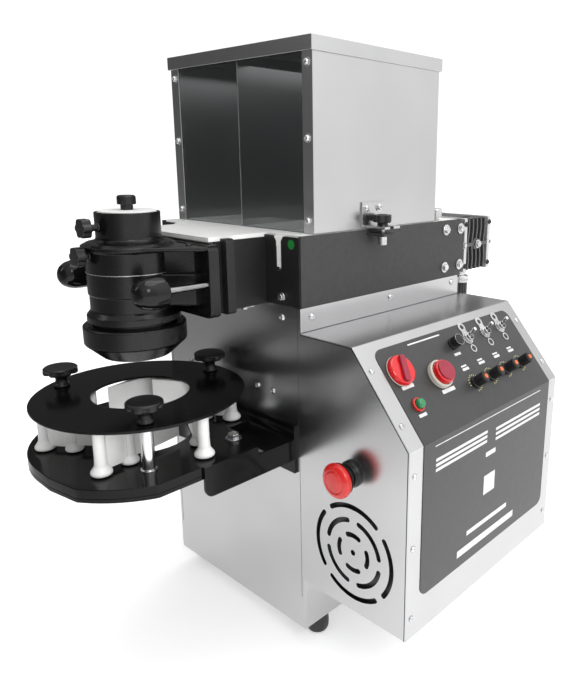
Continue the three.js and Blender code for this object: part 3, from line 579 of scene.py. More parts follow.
# --- column
def build_column():
    refine("column_shell", "steel_upright", 0.7, 2)
    refine("column_back_cover", "steel_upright", 0.4, 1)
    gland = lathe([(0, 0), (15, 0), (15, 4), (12.5, 5), (12.5, 12), (9, 13.5), (5.2, 13.5),
                   (5.2, 2), (0, 2)], 0.6, 40)
    make("cable_gland", gland, "black_moulded", matrix=at(-70, COLUMN_BACK, 60, BACKWARD))
    floor_low, floor_high = mm("base_plate")
    sheet = slab(floor_low.x + 0.5, floor_high.x - 0.5, floor_low.y + 0.5, floor_high.y - 0.5,
                 0.2, 3, 0.4)
    feet = []
    for x in (-122, 122):
        for y in (38, 280):
            foot = lathe([(0, -28), (11.5, -28), (14.4, -24), (15, -14), (14.2, -4), (12, 0.3),
                          (0, 0.3)], 2.5, 48)
            feet.append((foot, at(x, y, 0)))
    make("column_floor", sheet, "steel_across", stands_for="base_plate")
    make("feet", merged(*feet), "foot_rubber")
    screws = []
    for side in (1, -1):
        screws += [facing(side * COLUMN_SIDE, y, z, (side, 0, 0))
                   for y, z in ((17.7, 410), (159.6, 411.6), (300, 412.8))]
        screws += [facing(side * x, 0, z, (0, -1, 0))
                   for x, z in ((107, 407), (58, 311.5), (87, 311))]
        screws += [facing(side * 130, COLUMN_BACK, z, (0, 1, 0)) for z in (14, 210, 408)]
    row_of("column_screws", "zinc", lambda: pan_head(4.3, 2.6), screws)
    for name, x in (("left", -133.6), ("right", 133.6)):
        edge = slab(x - 0.25, x + 0.25, -0.12, 0.05, 46, 420, 0.02, 1)
        make("front_seam_" + name, edge, "satin_black")


# --- pump housing
def build_housing():
    for side, name in ((1, "housing_side_right"), (-1, "housing_side_left")):
        wall = [slab(HOUSING_SIDE - 4, HOUSING_SIDE, 0, 318.5, HOUSING_LOW, HOUSING_TOP, 0.7)]
        if side > 0:
            tab = [(140, 110), (168, 110), (168, 141), (140, 141)]
            wall.append(plate([tab, circle(*LATCH_KNOB, 3.6, 32)], 497, 500, 0.5, 2))
        make(name + "_shape", merged(*wall), "powder", matrix=mirrored(side), stands_for=name)
    refine("front_casting", "satin_black", 0.8, 2)
    refine("rear_bearing_block", "powder", 0.8, 2)
    refine("pump_block_dough", "nylon_white", 0.6, 2)
    refine("pump_block_filling", "nylon_white", 0.6, 2)
    refine("pump_deck", "nylon_white", 0.6, 2)
    fill = [(-4.2, 490), (4.2, 490), (4.2, 496), (8.1, 501.7), (-8.1, 501.7), (-4.2, 496)]
    inserts = [(plate([fill], -3.9, -0.4, 0.4, 2), at(x, 0, 0, FORWARD)) for x in (-103, 103)]
    make("slot_inserts", merged(*inserts), "nylon_white")
    spots = ((279, 491), (315.2, 490.5), (277.5, 437.6), (314.6, 438))
    places = [facing(side * HOUSING_SIDE, y, z, (side, 0, 0), turn * i)
              for side, turn in ((1, 15), (-1, 20)) for i, (y, z) in enumerate(spots)]
    row_of("housing_bolts", "zinc", lambda: hex_bolt(8.6, 3.5, 7.7), places)
    dot = lathe(disc(5.4, 0, 0.35), 0.1, 40)
    make("green_dot", dot, "green_spot", matrix=at(125, 0, 494, FORWARD))
    nuts = []
    for x in (-66, 66):
        nuts.append((hex_bolt(8, 4, 6.5), facing(x, -22, 420, (0, 0, -1))))
        nuts.append(slab(x - 9, x + 9, -30, -14, 417.4, 419.2, 0.4))
    make("neck_bolts", merged(*nuts), "zinc")
    studs = [facing(x, -0.2, 432, (0, -1, 0)) for x in (-108, 108)]
    row_of("front_studs", "zinc", lambda: hex_bolt(7, 3.2, 5.4, 1), studs)
    rear = [facing(x, 338, z, (0, 1, 0)) for x in (-124, -8, 8, 124) for z in (432, 492)]
    row_of("bearing_screws", "zinc", lambda: pan_head(4.2, 3.2), rear)
    knurl = [(0, 0), (4, 0), (4, 4), (8, 4.4), (8, 15), (6.5, 16.4), (0, 16.4)]
    for name, x in (("left", -128), ("right", 128)):
        screw = lathe(knurl, 0.6, 36)
        for i, vertex in enumerate(screw.verts):
            if 6 < vertex.co.z < 14 and i % 2:
                vertex.co.x *= 0.95
                vertex.co.y *= 0.95
        make("hopper_screw_" + name, screw, "zinc", matrix=at(x, 272, HOUSING_TOP + 0.2))
    dress("dough_auger", "polish")
    dress("filling_auger", "polish")


def build_gearmotor(name, side):
    """The finned gearmotor of one auger, with its flanges, bolts and conduit."""
    inner, outer, front, back, low, high = 20, 129, 346, 418, 420, 502
    mirror = mirrored(side)
    middle_y, middle_z = (front + back) / 2, (low + high) / 2
    parts = [slab(inner + 1, outer - 8, front + 1, back - 1, low + 3, high - 3, 1.2)]
    for i in range(5):
        y = front + 14 + i * 11
        edge = [(y + 1.8 * math.sin((z - low) / 9) * math.sin((z - low) / 26), z)
                for z in range(low + 2, high - 1, 3)]
        fin = [(u - 1.6, v) for u, v in edge] + [(u + 1.6, v) for u, v in reversed(edge)]
        parts.append((plate([fin], outer - 10, outer - 1.2, 0.6, 2), SIDEWAYS))
    hub = lathe([(0, -4), (9, -4), (9, 0), (6, 1), (6, 2.6), (0, 2.6)], 0.6, 40)
    parts.append((hub, at(outer - 2, middle_y, middle_z, SIDEWAYS)))
    parts.append(slab(outer - 6, outer - 0.6, front - 4, back + 5, middle_z - 3, middle_z + 3, 0.8))
    parts.append(slab(inner + 24, outer - 30, front + 8, back - 14, high - 3.2, high - 0.6, 0.8))
    make(name + "_block", merged(*parts), "cast_motor", matrix=mirror, stands_for=name)

    frames = []
    depth = 7
    for y in (front, back - depth):
        rim = [(inner, low), (outer, low), (outer, high), (inner, high)]
        window = [(inner + 14, low + 17), (outer - 9, low + 17), (outer - 9, high - 17),
                  (inner + 14, high - 17)]
        frames.append((plate([softened_loop(rim, 3), window], -y - depth, -y, 0.8, 2), FORWARD))
    make(name + "_flanges", merged(*frames), "cast_pale", matrix=mirror)

    screws = [at(outer - 0.3, y, z, SIDEWAYS) for y in (front + 3.5, back - 3.5)
              for z in (low + 9, high - 9)]
    row_of(name + "_screws", "satin_black", lambda: pan_head(4, 2.6), screws, mirror)

    fixings = [(hex_bolt(9, 3, 6.6, 1.4), at(outer + 0.4, middle_y, middle_z, SIDEWAYS)),
               (hex_bolt(7, 2.4, 5, 1), at(outer - 1, front + 1, middle_z, SIDEWAYS))]
    for px in (inner + 8, outer - 12):
        for z in (low + 12, high - 12):
            post = lathe(disc(4.8, 0, 7.4), 0.4, 24)
            fixings.append((post, at(px, 338.4, z, BACKWARD)))
            fixings.append((hex_bolt(8, 3.6, 7, 1.2), at(px, back - 0.2, z, BACKWARD)))
    shaft = lathe([(0, 0), (14, 0), (14, 3), (6, 3.4), (6, 10), (0, 10.6)], 0.5, 32)
    fixings.append((shaft, at((inner + outer) / 2, back, middle_z, BACKWARD)))
    make(name + "_fixings", merged(*fixings), "zinc", matrix=mirror)

    x, y = outer - 14, 357
    socket = mirror @ at(x, y, low)
    nut = lathe([
        (0, -17.6), (12, -17.6), (14, -16.4), (14, -13.6), (12.8, -13), (13.6, -12.4), (13.6, -8),
        (12.6, -6.6), (8.6, -5.6), (8.6, -2.6), (10.4, -2), (10.4, 0.5), (0, 0.5)], 0.5, 48)
    make(name + "_conduit_nut", nut, "zinc", matrix=socket)
    sleeve = plate([lobed(12.6, 0.9, 16, 0.4)], -44, -17, 0.8, 2)
    make(name + "_conduit_sleeve", sleeve, "conduit_black", matrix=socket)
    points = [Vector((x, y, low - 40 - i * 1.25)) for i in range(17)]
    bend, corner, end = (Vector((x, *place)) for place in (
        (y, low - 60), (y, low - 95), (COLUMN_BACK + 0.6, low - 95)))
    for i in range(1, 33):
        t = i / 32
        points.append(bend * (1 - t) ** 2 + corner * 2 * t * (1 - t) + end * t * t)
    hose = swept(points, lambda i: 10.0 if i % 2 else 8.7)
    make(name + "_conduit", hose, "conduit_black", matrix=mirror, sharp=70)


# --- hopper
def build_hopper():
    refine("hopper_shell", "steel_hopper", 0.5, 2)
    refine("hopper_window", "clear_sheet", 0.3, 1)
    refine("hopper_lid", "steel_level", 1.6, 3, "hopper_lid")
    refine("hopper_latch", "steel_across", 0.5, 2)
    posts = [facing(x, 25, z, (0, -1, 0)) for x in (-127.5, 127.5) for z in (690, 610, 519)]
    row_of("window_screws", "zinc", lambda: washer_screw(5.2), posts)
    latch = [facing(138.8, y, z, (1, 0, 0)) for y, z in ((111, 529.5), (134.5, 530))]
    row_of("latch_screws", "zinc", lambda: washer_screw(5.4), latch)
    grip = merged(
        plate([lobed(12, 2.6, 5)], 512.5, 522, 1.6, 3),
        lathe([(0, 521), (6.5, 521), (6, 522.6), (0, 522.8)], 0.6, 40),
        lathe([(0, 508.8), (7, 508.8), (6, 513.5), (0, 513.5)], 0.6, 40))
    make("latch_grip", grip, "black_moulded", "latch_knob", at(*LATCH_KNOB, 0), "latch_knob")
    stud = merged(
        lathe(disc(2.9, 492, 510), 0.3, 24),
        lathe(tube(2.9, 5.6, 485, 495.6), 0.6, 32))
    make("latch_stud", stud, "zinc", "latch_knob", at(*LATCH_KNOB, 0))


# --- forming head
def build_head():
    here = at(0, HEAD_Y, 0)
    barrel = lathe([
        (38, 395.5), (45, 395.5), (45, 411.6), (50.5, 412), (50.5, 419), (46.8, 423.6),
        (46, 425.5), (46, 441.6), (47.3, 442.6), (47.3, 489.4), (51, 491.5), (51, 495.5),
        (45, 498.6), (38, 500), (35, 502), (34.5, 504), (34.5, 530.4), (33.6, 531), (32, 531),
        (32, 528), (28.2, 528), (28.2, 508), (16, 508), (16, 484), (38, 472), (38, 395.5)],
        0.7, 96)
    fan = [(87, 42), (-87, 42), (-87, 36), (-86, 33)]
    fan += arc(0, 0, 51, 196, 344, 40) + [(86, 33), (87, 36)]
    upper = [(-66, 42), (-66, 38), (-42, 12), (-34, -6), (34, -6), (42, 12), (66, 38), (66, 42)]
    lower = [(-72, 42), (-72, 34), (-45, 7), (-36, -6), (36, -6), (45, 7), (72, 34), (72, 42)]
    back_plate = plate([rounded_rectangle(-89, 89, 416, 497, 8)], 71, 85, 1.3, 2)
    body = merged(
        (barrel, here), (plate([fan], 491.4, 496, 1.6, 3), here),
        (plate([upper], 465, 492, 1.5, 2), here), (plate([lower], 430, 466.5, 3, 3), here),
        (back_plate, FORWARD))
    make("head_shape", body, "anodised", stands_for="head_body")
    # A light zinc ring on the anodised barrel's seam, standing in for the seam's highlight line:
    # painted highlight.
    seam = lathe(tube(46.9, 47.7, 466.3, 467.1),
                 0.2, 96)
    make("head_seam_highlight_ring", seam, "zinc", matrix=here)
    caps = [facing(x * 60, HEAD_Y + 36, 495.9, (0, 0, 1)) for x in (-1, 1)]
    row_of("arm_screws", "satin_black", lambda: pan_head(3.6, 2), caps)

    pipe = lathe([
        (13, 371), (15.5, 371), (15.5, 508.5), (27.5, 508.5), (27.5, 519), (13, 519), (13, 371)],
        0.5, 64)
    make("filling_tube_shape", pipe, "polish", matrix=here, stands_for="filling_tube")

    nut = lathe([
        (45.5, 407.5), (54.5, 407.5), (56, 406), (56, 387.2), (54.4, 385.2), (37.4, 370),
        (35.6, 369.5), (26, 369.5), (26, 373), (40, 394), (45.5, 394.5), (45.5, 407.5)], 0.9, 96)
    make("nozzle_nut_shape", nut, "anodised", "nozzle_nut", here, "nozzle_nut")

    cap = lathe([(0, 519.5), (27.3, 519.5), (27.3, 528.5), (31.3, 528.5), (31.3, 532.2),
                  (0, 532.6)], 0.5, 72)
    make("head_cap_disc", cap, "nylon_white", "head_cap", here, "head_cap")
    knob = merged(
        lathe([(0, 532.4), (6.6, 532.6), (6.6, 538), (9.6, 538.6), (9.8, 546.6), (8.4, 548.2),
               (0, 548.4)], 0.7, 48),
        plate([lobed(10, 1, 12)], 538.4, 546.8, 0.6, 2))
    make("head_cap_knob", knob, "black_moulded", "head_cap", here)

    for name, z, reach, neck in (
            ("thumb_screw_upper", 515.5, 34.5, 10), ("thumb_screw_lower", 486.5, 47.3, 6)):
        end = neck + 10.5
        screw = merged(
            plate([lobed(10.8, 1.8, 6)], neck, end, 1.4, 3),
            lathe([(0, end - 1), (6.6, end - 1), (5.6, end + 0.1), (0, end + 0.2)], 0.5, 36),
            lathe([(0, 0.4), (5.6, 0.4), (5, 1.8), (3.6, 2.8), (3.6, neck - 1.8), (6.6, neck - 0.2),
                   (6.6, neck + 2), (0, neck + 2)], 0.6, 40),
            lathe(disc(3, -5, 3), 0.3, 20))
        make(name + "_shape", screw, "black_moulded", name,
             at(0, HEAD_Y - reach, z, FORWARD), name)

    for name, x in (("clamp_lever_right", CLAMP_X), ("clamp_lever_left", -CLAMP_X)):
        place = at(x, -75, CLAMP_Z, FORWARD)
        grip = lathe([(0, 62.4), (6, 62.4), (7.5, 63.2), (15.6, 63.2), (17, 64.4), (17.2, 67),
                      (17.2, 73), (16.8, 80), (15, 87), (11.6, 92.6), (6.6, 96), (0, 97)], 2.0, 72)
        make(name + "_grip", grip, "black_glossy", name, place, name)
        rod = lathe([(0, 0), (3.3, 0), (4, 63), (0, 63)], 0.3, 40)
        make(name + "_rod", rod, "dark_chrome", name, place)


# --- iris cutter
def cutter_outline():
    """The base plate seen from above, round the cutter's axis."""
    radius, right, swell, back, corner = 124, 125, 137, 78, 20
    tail_half, tail = 60, 109
    first = -math.degrees(math.acos(right / swell))
    return ([(0, -radius), (30, -radius)] + arc(0, 0, swell, -58, first, 10)
            + arc(right - corner, back - corner, corner, 0, 90, 8)
            + [(tail_half, back), (tail_half, tail), (-tail_half, tail), (-tail_half, back)]
            + arc(corner - right, back - corner, corner, 90, 180, 8)
            + [(-right, 0)] + arc(0, 0, radius, 180, 270, 40)[:-1])


def build_cutter():
    here = at(0, HEAD_Y, 0)
    bracket = from_node("cutter_bracket", 0, 1)
    corners = [e for e in bracket.edges if all(
        abs(v.co.y + 130) < 0.5 and abs(v.co.z - 234) < 0.5 for v in e.verts)]
    bmesh.ops.bevel(bracket, geom=corners, offset=10, segments=8, profile=0.5, affect="EDGES")
    make("cutter_bracket_shape", bracket, "gloss_plate", stands_for="cutter_bracket")
    base = merged(
        plate([cutter_outline(), circle(0, 0, 88.5, 96)], 260.2, PLATE_TOP, 0.7, 2),
        plate([cutter_outline(), circle(0, 0, 70, 96)], 255.5, 260.2, 0.5, 1))
    make("cutter_base_shape", base, "gloss_plate", matrix=here, stands_for="cutter_base")
    foot, head = PLATE_TOP - 0.3, RING_LOW - 0.4
    pillar = [(0, foot), (8.6, foot), (8.6, foot + 2.4), (7, foot + 3), (7, head - 1.6),
              (6.2, head), (0, head)]
    places = [at(*polar(*spot), 0) for spot in STANDOFFS]
    row_of("standoffs", "polish", lambda: lathe(pillar, 0.4, 40), places, here)
    bolts = [facing(x, 62.7, PLATE_TOP, (0, 0, 1), 20) for x in (-89.6, 89.6)]
    row_of("base_bolts", "zinc", lambda: hex_bolt(12, 5, 9.6), bolts, matrix=here)

    refine("cam_disc", "gloss_plate", 0.3, 1, "cam_disc")
    spot = lathe([(0, -1), (6.2, -1), (6.2, 0.25), (0, 0.3)], 0.2, 36)
    make("cam_screw", spot, "zinc", "cam_disc", here @ at(*polar(72.4, 40.9), PLATE_TOP))
    dress("cutter_pinion", "zinc")
    dress("cutter_motor", "cast_motor")

    ring = plate([circle(0, 0, 119, 128), circle(0, 0, 54.5, 96)], RING_LOW, RING_TOP, 0.7, 3)
    make("cutter_ring_shape", ring, "gloss_plate", matrix=here, stands_for="cutter_ring")
    for number, spot in enumerate(STANDOFFS, 1):
        knob = merged(
            plate([lobed(19.4, 3.4, 7, 0.42)], 16, 22.4, 1.8, 3),
            lathe([(0, 20), (17.4, 20), (19, 21.4), (19.2, 22.8), (17.4, 24.3), (9, 25), (0, 25)],
                  0.8, 64),
            lathe([(0, 0.4), (9, 0.4), (9, 2.6), (7, 5), (6.4, 9), (8, 14), (12, 17.2), (0, 17.2)],
                  1.0, 40))
        name = f"ring_knob_{number}"
        make(name + "_shape", knob, "black_moulded", name,
             here @ at(*polar(*spot), RING_TOP), name)


def build_blades():
    """Six blades, each with a tall outer post on its pivot, an inner post and a web."""
    foot = PLATE_TOP + 1.0
    top = foot + 47.7
    for number, (radius, angle) in enumerate(BLADE_PIVOTS, 1):
        direction = turned(angle + 150)
        post = lathe([(0, foot), (10, foot), (11.2, foot + 1.6), (11, foot + 4), (9, foot + 6.6),
                      (6.8, foot + 10), (6.2, foot + 20), (6.2, top - 0.6), (0, top)], 1.2, 48)
        inner = lathe([(0, foot), (9, foot), (10, foot + 1.6), (9.8, foot + 3.6),
                       (8.2, foot + 6), (6.4, foot + 9), (6, top - 0.6), (0, top)], 1.2, 44)
        web = slab(0, 34, -2.8, 2.8, foot + 4, top - 0.2, 1)
        petal = plate([[(28, -3.8), (72, -2.6), (99.6, -0.3), (99.6, 0.3), (72, 3.9), (28, 4.8)]],
                      foot + 7, top, 0.12, 1)
        blade = merged(post, (inner, at(34, 0, 0)), web, petal)
        name = f"iris_blade_{number}"
        make(name + "_shape", blade, "nylon_white", name,
             at(0, HEAD_Y, 0) @ at(*polar(radius, angle), 0, direction), name)


# --- control box
def vent_slots():
    """The curved slots of the round vent, round its centre."""
    loops = [circle(0, 0, 3.4, 28)]
    for index, reach in enumerate((22, 39.5, 57)):
        for i in range(4):
            middle = (i + (index % 2) * 0.5) * 90
            half = 45 - math.degrees(8.5 / reach)
            loop = arc(0, 0, reach + 3, middle - half, middle + half, 24)
            x, y = polar(reach, middle + half)
            loop += arc(x, y, 3, middle + half, middle + half + 180, 8)[1:-1]
            loop += arc(0, 0, reach - 3, middle + half, middle - half, 24)
            x, y = polar(reach, middle - half)
            loop += arc(x, y, 3, middle - half + 180, middle - half + 360, 8)[1:-1]
            loops.append(loop)
    return loops


def box_line(inset):
    """The box's profile inside its outer faces: the slope's top, the knee and the bottom."""
    low, high = mm("control_box")
    drop = inset / OUT.z
    slope = (KNEE.z - SLOPE_TOP.z) / (KNEE.x - SLOPE_TOP.x)
    x = KNEE.x - inset
    return [(SLOPE_TOP.x + drop / slope, high.z),
            (x, SLOPE_TOP.z - drop + slope * (x - SLOPE_TOP.x)), (x, low.z)]


def build_box():
    """The box of folded sheet with its vent, the sloping panel and the seam between them, drawn as
    a thin dark strip of painted shade.
    """
    low, high = mm("control_box")
    inner, bottom, top = low.x, low.z, high.z
    front, back = low.y, high.y
    sheet = 1.5
    shell_line = box_line(1.8)
    outline = [(inner, bottom)] + shell_line[::-1] + [(inner, top)]
    top_x, x = shell_line[0][0], shell_line[2][0]
    vents = [[(u + VENT[0], v + VENT[1]) for u, v in loop] for loop in vent_slots()]
    end = plate([outline, circle(*ESTOP, 11.4, 48)] + vents, -front - sheet, -front, 0.25, 1)
    rear = plate([outline], -back, -back + sheet, 0.25, 1)
    shell = merged(
        (end, FORWARD), (rear, FORWARD),
        slab(inner, inner + sheet, front + 0.7, back - 0.7, bottom, top, 0.4),
        slab(inner, top_x, front + 0.7, back - 0.7, top - sheet, top, 0.4),
        slab(inner, x, front + 0.7, back - 0.7, bottom, bottom + sheet, 0.4))
    make("control_box_shape", shell, "steel_upright", stands_for="control_box")
    panel = [(SLOPE_TOP.x, top), (KNEE.x, KNEE.z), (KNEE.x, bottom)] + box_line(sheet)[::-1]
    make("control_panel_shape", plate([panel], -back, -front, 0.4, 2), "steel_level",
         matrix=FORWARD, stands_for="control_panel")
    dress("control_board", "circuit_board")
    dark = slab(inner + 2, x - 20, front + 6, front + 7, bottom + 6, SLOPE_TOP.z - 110, 0.2)
    make("vent_backing", dark, "conduit_black")
    # A thin dark strip where the end plate meets the sloping panel: painted shade of the bent edge.
    seam_outer = [(KNEE.x - 1.4, bottom + 0.2), (KNEE.x - 1.4, KNEE.z - 0.6),
                  (SLOPE_TOP.x - 0.9, top - 1.1), (inner + 0.5, top - 1.1)]
    seam_inner = [(inner + 0.5, top - 1.9), (SLOPE_TOP.x - 1.3, top - 1.9),
                  (KNEE.x - 2.3, KNEE.z - 1.0), (KNEE.x - 2.3, bottom + 0.2)]
    seam_shade_strip = plate([seam_outer + seam_inner], -front - 0.1, -front + 0.04, 0.02, 1)
    make("box_seam_painted_shade", seam_shade_strip, "satin_black", matrix=FORWARD)


def build_film():
    """The grey film over the slope and the upright face, with rounded outer corners."""
    lift, corner, overlap = 0.75, 12, 0.2
    near, far = 24, 305
    end = SLOPE_LENGTH + overlap
    slope_part = ([(end, near)] + arc(23, near + corner, corner, 270, 180, 10)
                  + arc(23, far - corner, corner, 180, 90, 10) + [(end, far)])
    edge = KNEE.z - 117 - corner
    face_part = ([(-overlap, near), (-overlap, far)] + arc(edge, far - corner, corner, 90, 0, 10)
                 + arc(edge, near + corner, corner, 0, -90, 10))
    overlay = merged(
        (plate([slope_part], 0.15, lift, 0.15, 1), DESK),
        (plate([face_part], 0.15, lift, 0.15, 1), FACE))
    make("overlay_shape", overlay, "overlay_film", stands_for="panel_overlay")


def build_box_screws():
    screws = [DESK @ at(u, v, 0) for u in (31, 97) for v in (9, 317)]
    screws += [FACE @ at(KNEE.z - z, v, 0) for z in (268, 184, 98) for v in (10, 317)]
    row_of("panel_screws", "zinc", lambda: pan_head(3.6, 2), screws)
    back = mm("control_box")[1].y
    rear_screws = [facing(px, back, z, (0, 1, 0)) for px in (152, 285) for z in (90, 270)]
    row_of("box_rear_screws", "zinc", lambda: pan_head(4, 2.4), rear_screws)


SEAT = 0.85  # what stands on the film starts here


def on_desk(place, turn=0.0):
    """A place on the film over the slope, turned by so many degrees."""
    return DESK @ at(*place, SEAT, turned(turn))


def build_buttons():
    base = lathe([(0, 0.2), (17.9, 0.2), (18, 3), (17.2, 6.4), (15.4, 7.6), (0, 8)], 0.8, 72)
    make("selector_lens", base, "red_lens", "selector_knob", on_desk(SELECTOR), "selector_knob")
    bar = plate([softened_loop([(-16, -4), (16, -4.6), (16, 4.6), (-16, 4)], 4)], 6, 11.6, 1.8, 3)
    make("selector_bar", bar, "crimson_lens", "selector_knob", on_desk(SELECTOR, -20))
    rim = lathe(tube(17.6, 18.4, 0.1, 1.2), 0.2, 72)
    make("selector_rim", rim, "bezel_grey", "frame", on_desk(SELECTOR))

    bezel = lathe([(14.6, 0.2), (17, 0.2), (17, 6), (15.8, 7), (14.6, 7), (14.6, 0.2)], 0.6, 72)
    make("push_bezel_shape", bezel, "bezel_grey", "frame", on_desk(PUSH), "push_bezel")
    cap = lathe([(0, 4.4), (14.2, 4.4), (14.2, 12.6), (12.8, 13.6), (0, 13.8)], 0.9, 72)
    make("push_cap_shape", cap, "red_lens", "push_cap", on_desk(PUSH), "push_cap")
    lens = lathe([(0, 13.4), (12.4, 13.4), (12.2, 15.4), (11.4, 16), (0, 16.1)], 0.5, 64)
    make("push_lens", lens, "crimson_lens", "push_cap", on_desk(PUSH))

    ring = lathe([(6.2, 0.1), (8, 0.1), (8, 2.6), (6.8, 3.3), (6.2, 3.3), (6.2, 0.1)], 0.3, 48)
    make("reset_ring", ring, "red_ring", "frame", on_desk(RESET))
    dome = lathe([(0, 3.1), (5.8, 3.1), (5.9, 4.6), (5.6, 7), (4.2, 8.8), (0, 9.6)], 0.6, 48)
    make("reset_dome", dome, "green_lens", "reset_cap", on_desk(RESET), "reset_cap")

    cap = merged(
        lathe([(0, 0.2), (7.6, 0.2), (7.6, 2.4), (6.9, 3), (6.9, 12.8), (6, 14), (0, 14.1)],
              0.6, 56),
        plate([lobed(7.3, 0.6, 20)], 3, 11.6, 0.3, 1))
    make("fuse_cap_shape", cap, "black_moulded", "fuse_cap", on_desk(FUSE), "fuse_cap")
    collar = lathe(tube(6.9, 7.3, 12.9, 13.5), 0.1, 48)
    make("fuse_rim", collar, "zinc", "fuse_cap", on_desk(FUSE))


def figure_eight(big, small, apart):
    """The outline of two round tags joined in a waist, the smaller one towards -X."""
    return (arc(0, 0, big, -140, 140, 28) + arc(-apart, 0, small, 50, 310, 28))


def build_toggles():
    for number, place in enumerate(TOGGLES, 1):
        tag = plate([figure_eight(8.6, 6.6, 15.5), circle(-15.5, 0, 3.1, 24),
                     circle(0, 0, 5.6, 32)], 0.1, 0.8, 0.15, 1)
        second = lathe(tube(5.6, 8.2, 0.7, 1.5), 0.2, 40)
        nut = plate([circle(0, 0, 7.4, 6), circle(0, 0, 4.6, 32)], 1.4, 3.6, 0.4, 2)
        bush = lathe([(4.5, 0.2), (5.4, 0.2), (5.4, 6.4), (4.9, 7), (4.5, 7), (4.5, 0.2)], 0.2, 36)
        lower = plate([circle(15, 0, 5.4, 32), circle(15, 0, 3.6, 28)], 0.1, 0.7, 0.1, 1)
        make(f"toggle_base_{number}", merged(tag, second, nut, bush, lower), "zinc", "frame",
             on_desk(place))
        lever = lathe([(0, -4.4), (2.6, -3.6), (4.2, 0), (2.2, 4.4), (1.7, 6), (2.6, 16),
                       (2.5, 18), (0, 19.4)], 0.8, 36)
        tilt = turned(-14, "Y")
        make(f"toggle_bat_{number}", lever, "polish", f"toggle_lever_{number}",
             DESK @ at(*place, 1.0, tilt), f"toggle_lever_{number}")


def build_speed_knobs():
    for number, place in enumerate(SPEED_KNOBS, 1):
        name = f"speed_knob_{number}"
        knob = merged(
            lathe([(0, 0.9), (7.5, 0.9), (7.4, 3), (6.5, 4), (6.1, 18.4), (5.2, 19.2), (0, 19.2)],
                  0.5, 48),
            plate([lobed(6.9, 0.5, 18)], 3.8, 17.6, 0.3, 1))
        make(name + "_grip", knob, "black_moulded", name, on_desk(place), name)
        tip = lathe([(0, 17.2), (3, 17.2), (3, 19.2), (2.4, 20), (0, 20.1)], 0.4, 40)
        make(name + "_tip", tip, "orange_tip", name, on_desk(place))
        ticks = []
        for k in range(15):
            tick = slab(9.4, 11.4, -0.4, 0.4, 0, 0.12, 0.03, 1)
            ticks.append((tick, turned(-50 + 280 * k / 14)))
        make(f"speed_scale_{number}", merged(*ticks), "yellow_ink", "frame", on_desk(place, 45))


def build_labels():
    """Plain bars and a plain square, where the machine has words and a printed code."""
    # Each bar: its place down and along the face, its width and its length
    strips = [
        (16.5, 112, 1.8, 62), (61, 47, 4.2, 20), (82, 106, 4.6, 24), (95.5, 46, 3.6, 13),
        (46.5, 156, 3.4, 13)]
    for _, v in SPEED_KNOBS:
        strips += [(63, v - 3, 2.2, 11), (67.2, v - 2, 3.4, 13)]
    printed("control_labels", strips, "white_ink", DESK @ at(0, 0, SEAT))
    panels = [(7, 162, 1.1, 236), (54, 160, 6, 22), (94, 160, 25, 25), (143, 160, 6, 92),
              (163, 160, 9, 130)]
    panels += [(u, 98, 3.6, 104) for u in (24, 30, 36)]
    panels += [(u, 226, 3.6, 112) for u in (27, 33.5, 40)]
    printed("face_labels", panels, "white_ink", FACE @ at(0, 0, SEAT))


def build_estop():
    place = at(ESTOP[0], mm("control_box")[0].y, ESTOP[1], FORWARD)
    collar = lathe([(7.2, 0.1), (15.5, 0.1), (15.5, 3), (14.6, 4.4), (14, 9), (12.9, 9),
                    (12.9, 4.6), (7.2, 4.6), (7.2, 0.1)], 0.3, 64)
    make("estop_collar_shape", collar, "black_moulded", "frame", place, "estop_collar")
    # The stem and the underside of the mushroom head are black as painted shade, which also darkens
    # the head's reflection in the box's end. A real stop is red under its head.
    neck = lathe([
        (0, 9), (12.4, 9), (12.4, 13.2), (14.4, 14.2), (18.4, 17.2), (18.4, 18), (0, 18),
    ], 0.3, 64)
    make("estop_underside_painted_shade", neck, "black_moulded", "estop_head", place)
    head = lathe([
        (0, 17.6), (15, 17.6), (18.6, 19.6), (20, 22.2), (20, 25.2),
        (18.6, 27.4), (14.6, 29.2), (13.4, 29.2), (13, 28.4), (12.4, 28.6), (11.4, 30.2),
        (5, 30.6), (0, 30.6)], 0.8, 72)
    make("estop_head_shape", head, "stop_red", "estop_head", place, "estop_head")


build_column()
build_housing()
build_gearmotor("gearmotor_right", 1)
build_gearmotor("gearmotor_left", -1)
build_hopper()
build_head()
build_cutter()
build_blades()
build_box()
build_film()
build_box_screws()
build_buttons()
build_toggles()
build_speed_knobs()
build_labels()
build_estop()


# --- studio
# The floor fades in this direction: where that starts and ends, and its tone before and after
FRONT_LEFT = (-0.66, -0.75, 0.0)
FLOOR_FADE = (0.15, 1.35, 1.0, 0.2)
FLOOR_GLOW = 0.35
# Soft light by direction: where it points, where it starts and ends, and its strength
ROOM_BASE = 0.14
ROOM = (
    ((1.0, -0.12, 0.2), 0.1, 0.95, 1.0),
    ((0.3, 0.75, 0.6), 0.35, 0.95, 1.0),
    ((0.0, 0.0, 1.0), 0.35, 0.95, 0.75))
HOPPER_GLOW = 0.05
HOPPER_LAMP = Vector((0, 150, 698))
# Each lamp's name, place from the machine's middle in metres, width, height and power
LAMPS = (
    ("key", (1.9, -0.9, 1.6), 0.9, 0.9, 14),
    ("top", (0.1, 0.1, 2.0), 1.4, 1.4, 12),
    ("left_front", (-1.3, -1.9, 1.4), 0.4, 0.9, 3))
# Azimuth, elevation and roll in degrees, the lens in millimetres and the shift as a fraction
CAMERA_TURNS = (41.766, 13.369, 0.419)
CAMERA_PLACE = Vector((671.9, -487.4, 588.7))
CAMERA_LENS = 34.44882
CAMERA_SHIFT = (-0.107647, -0.0395588)


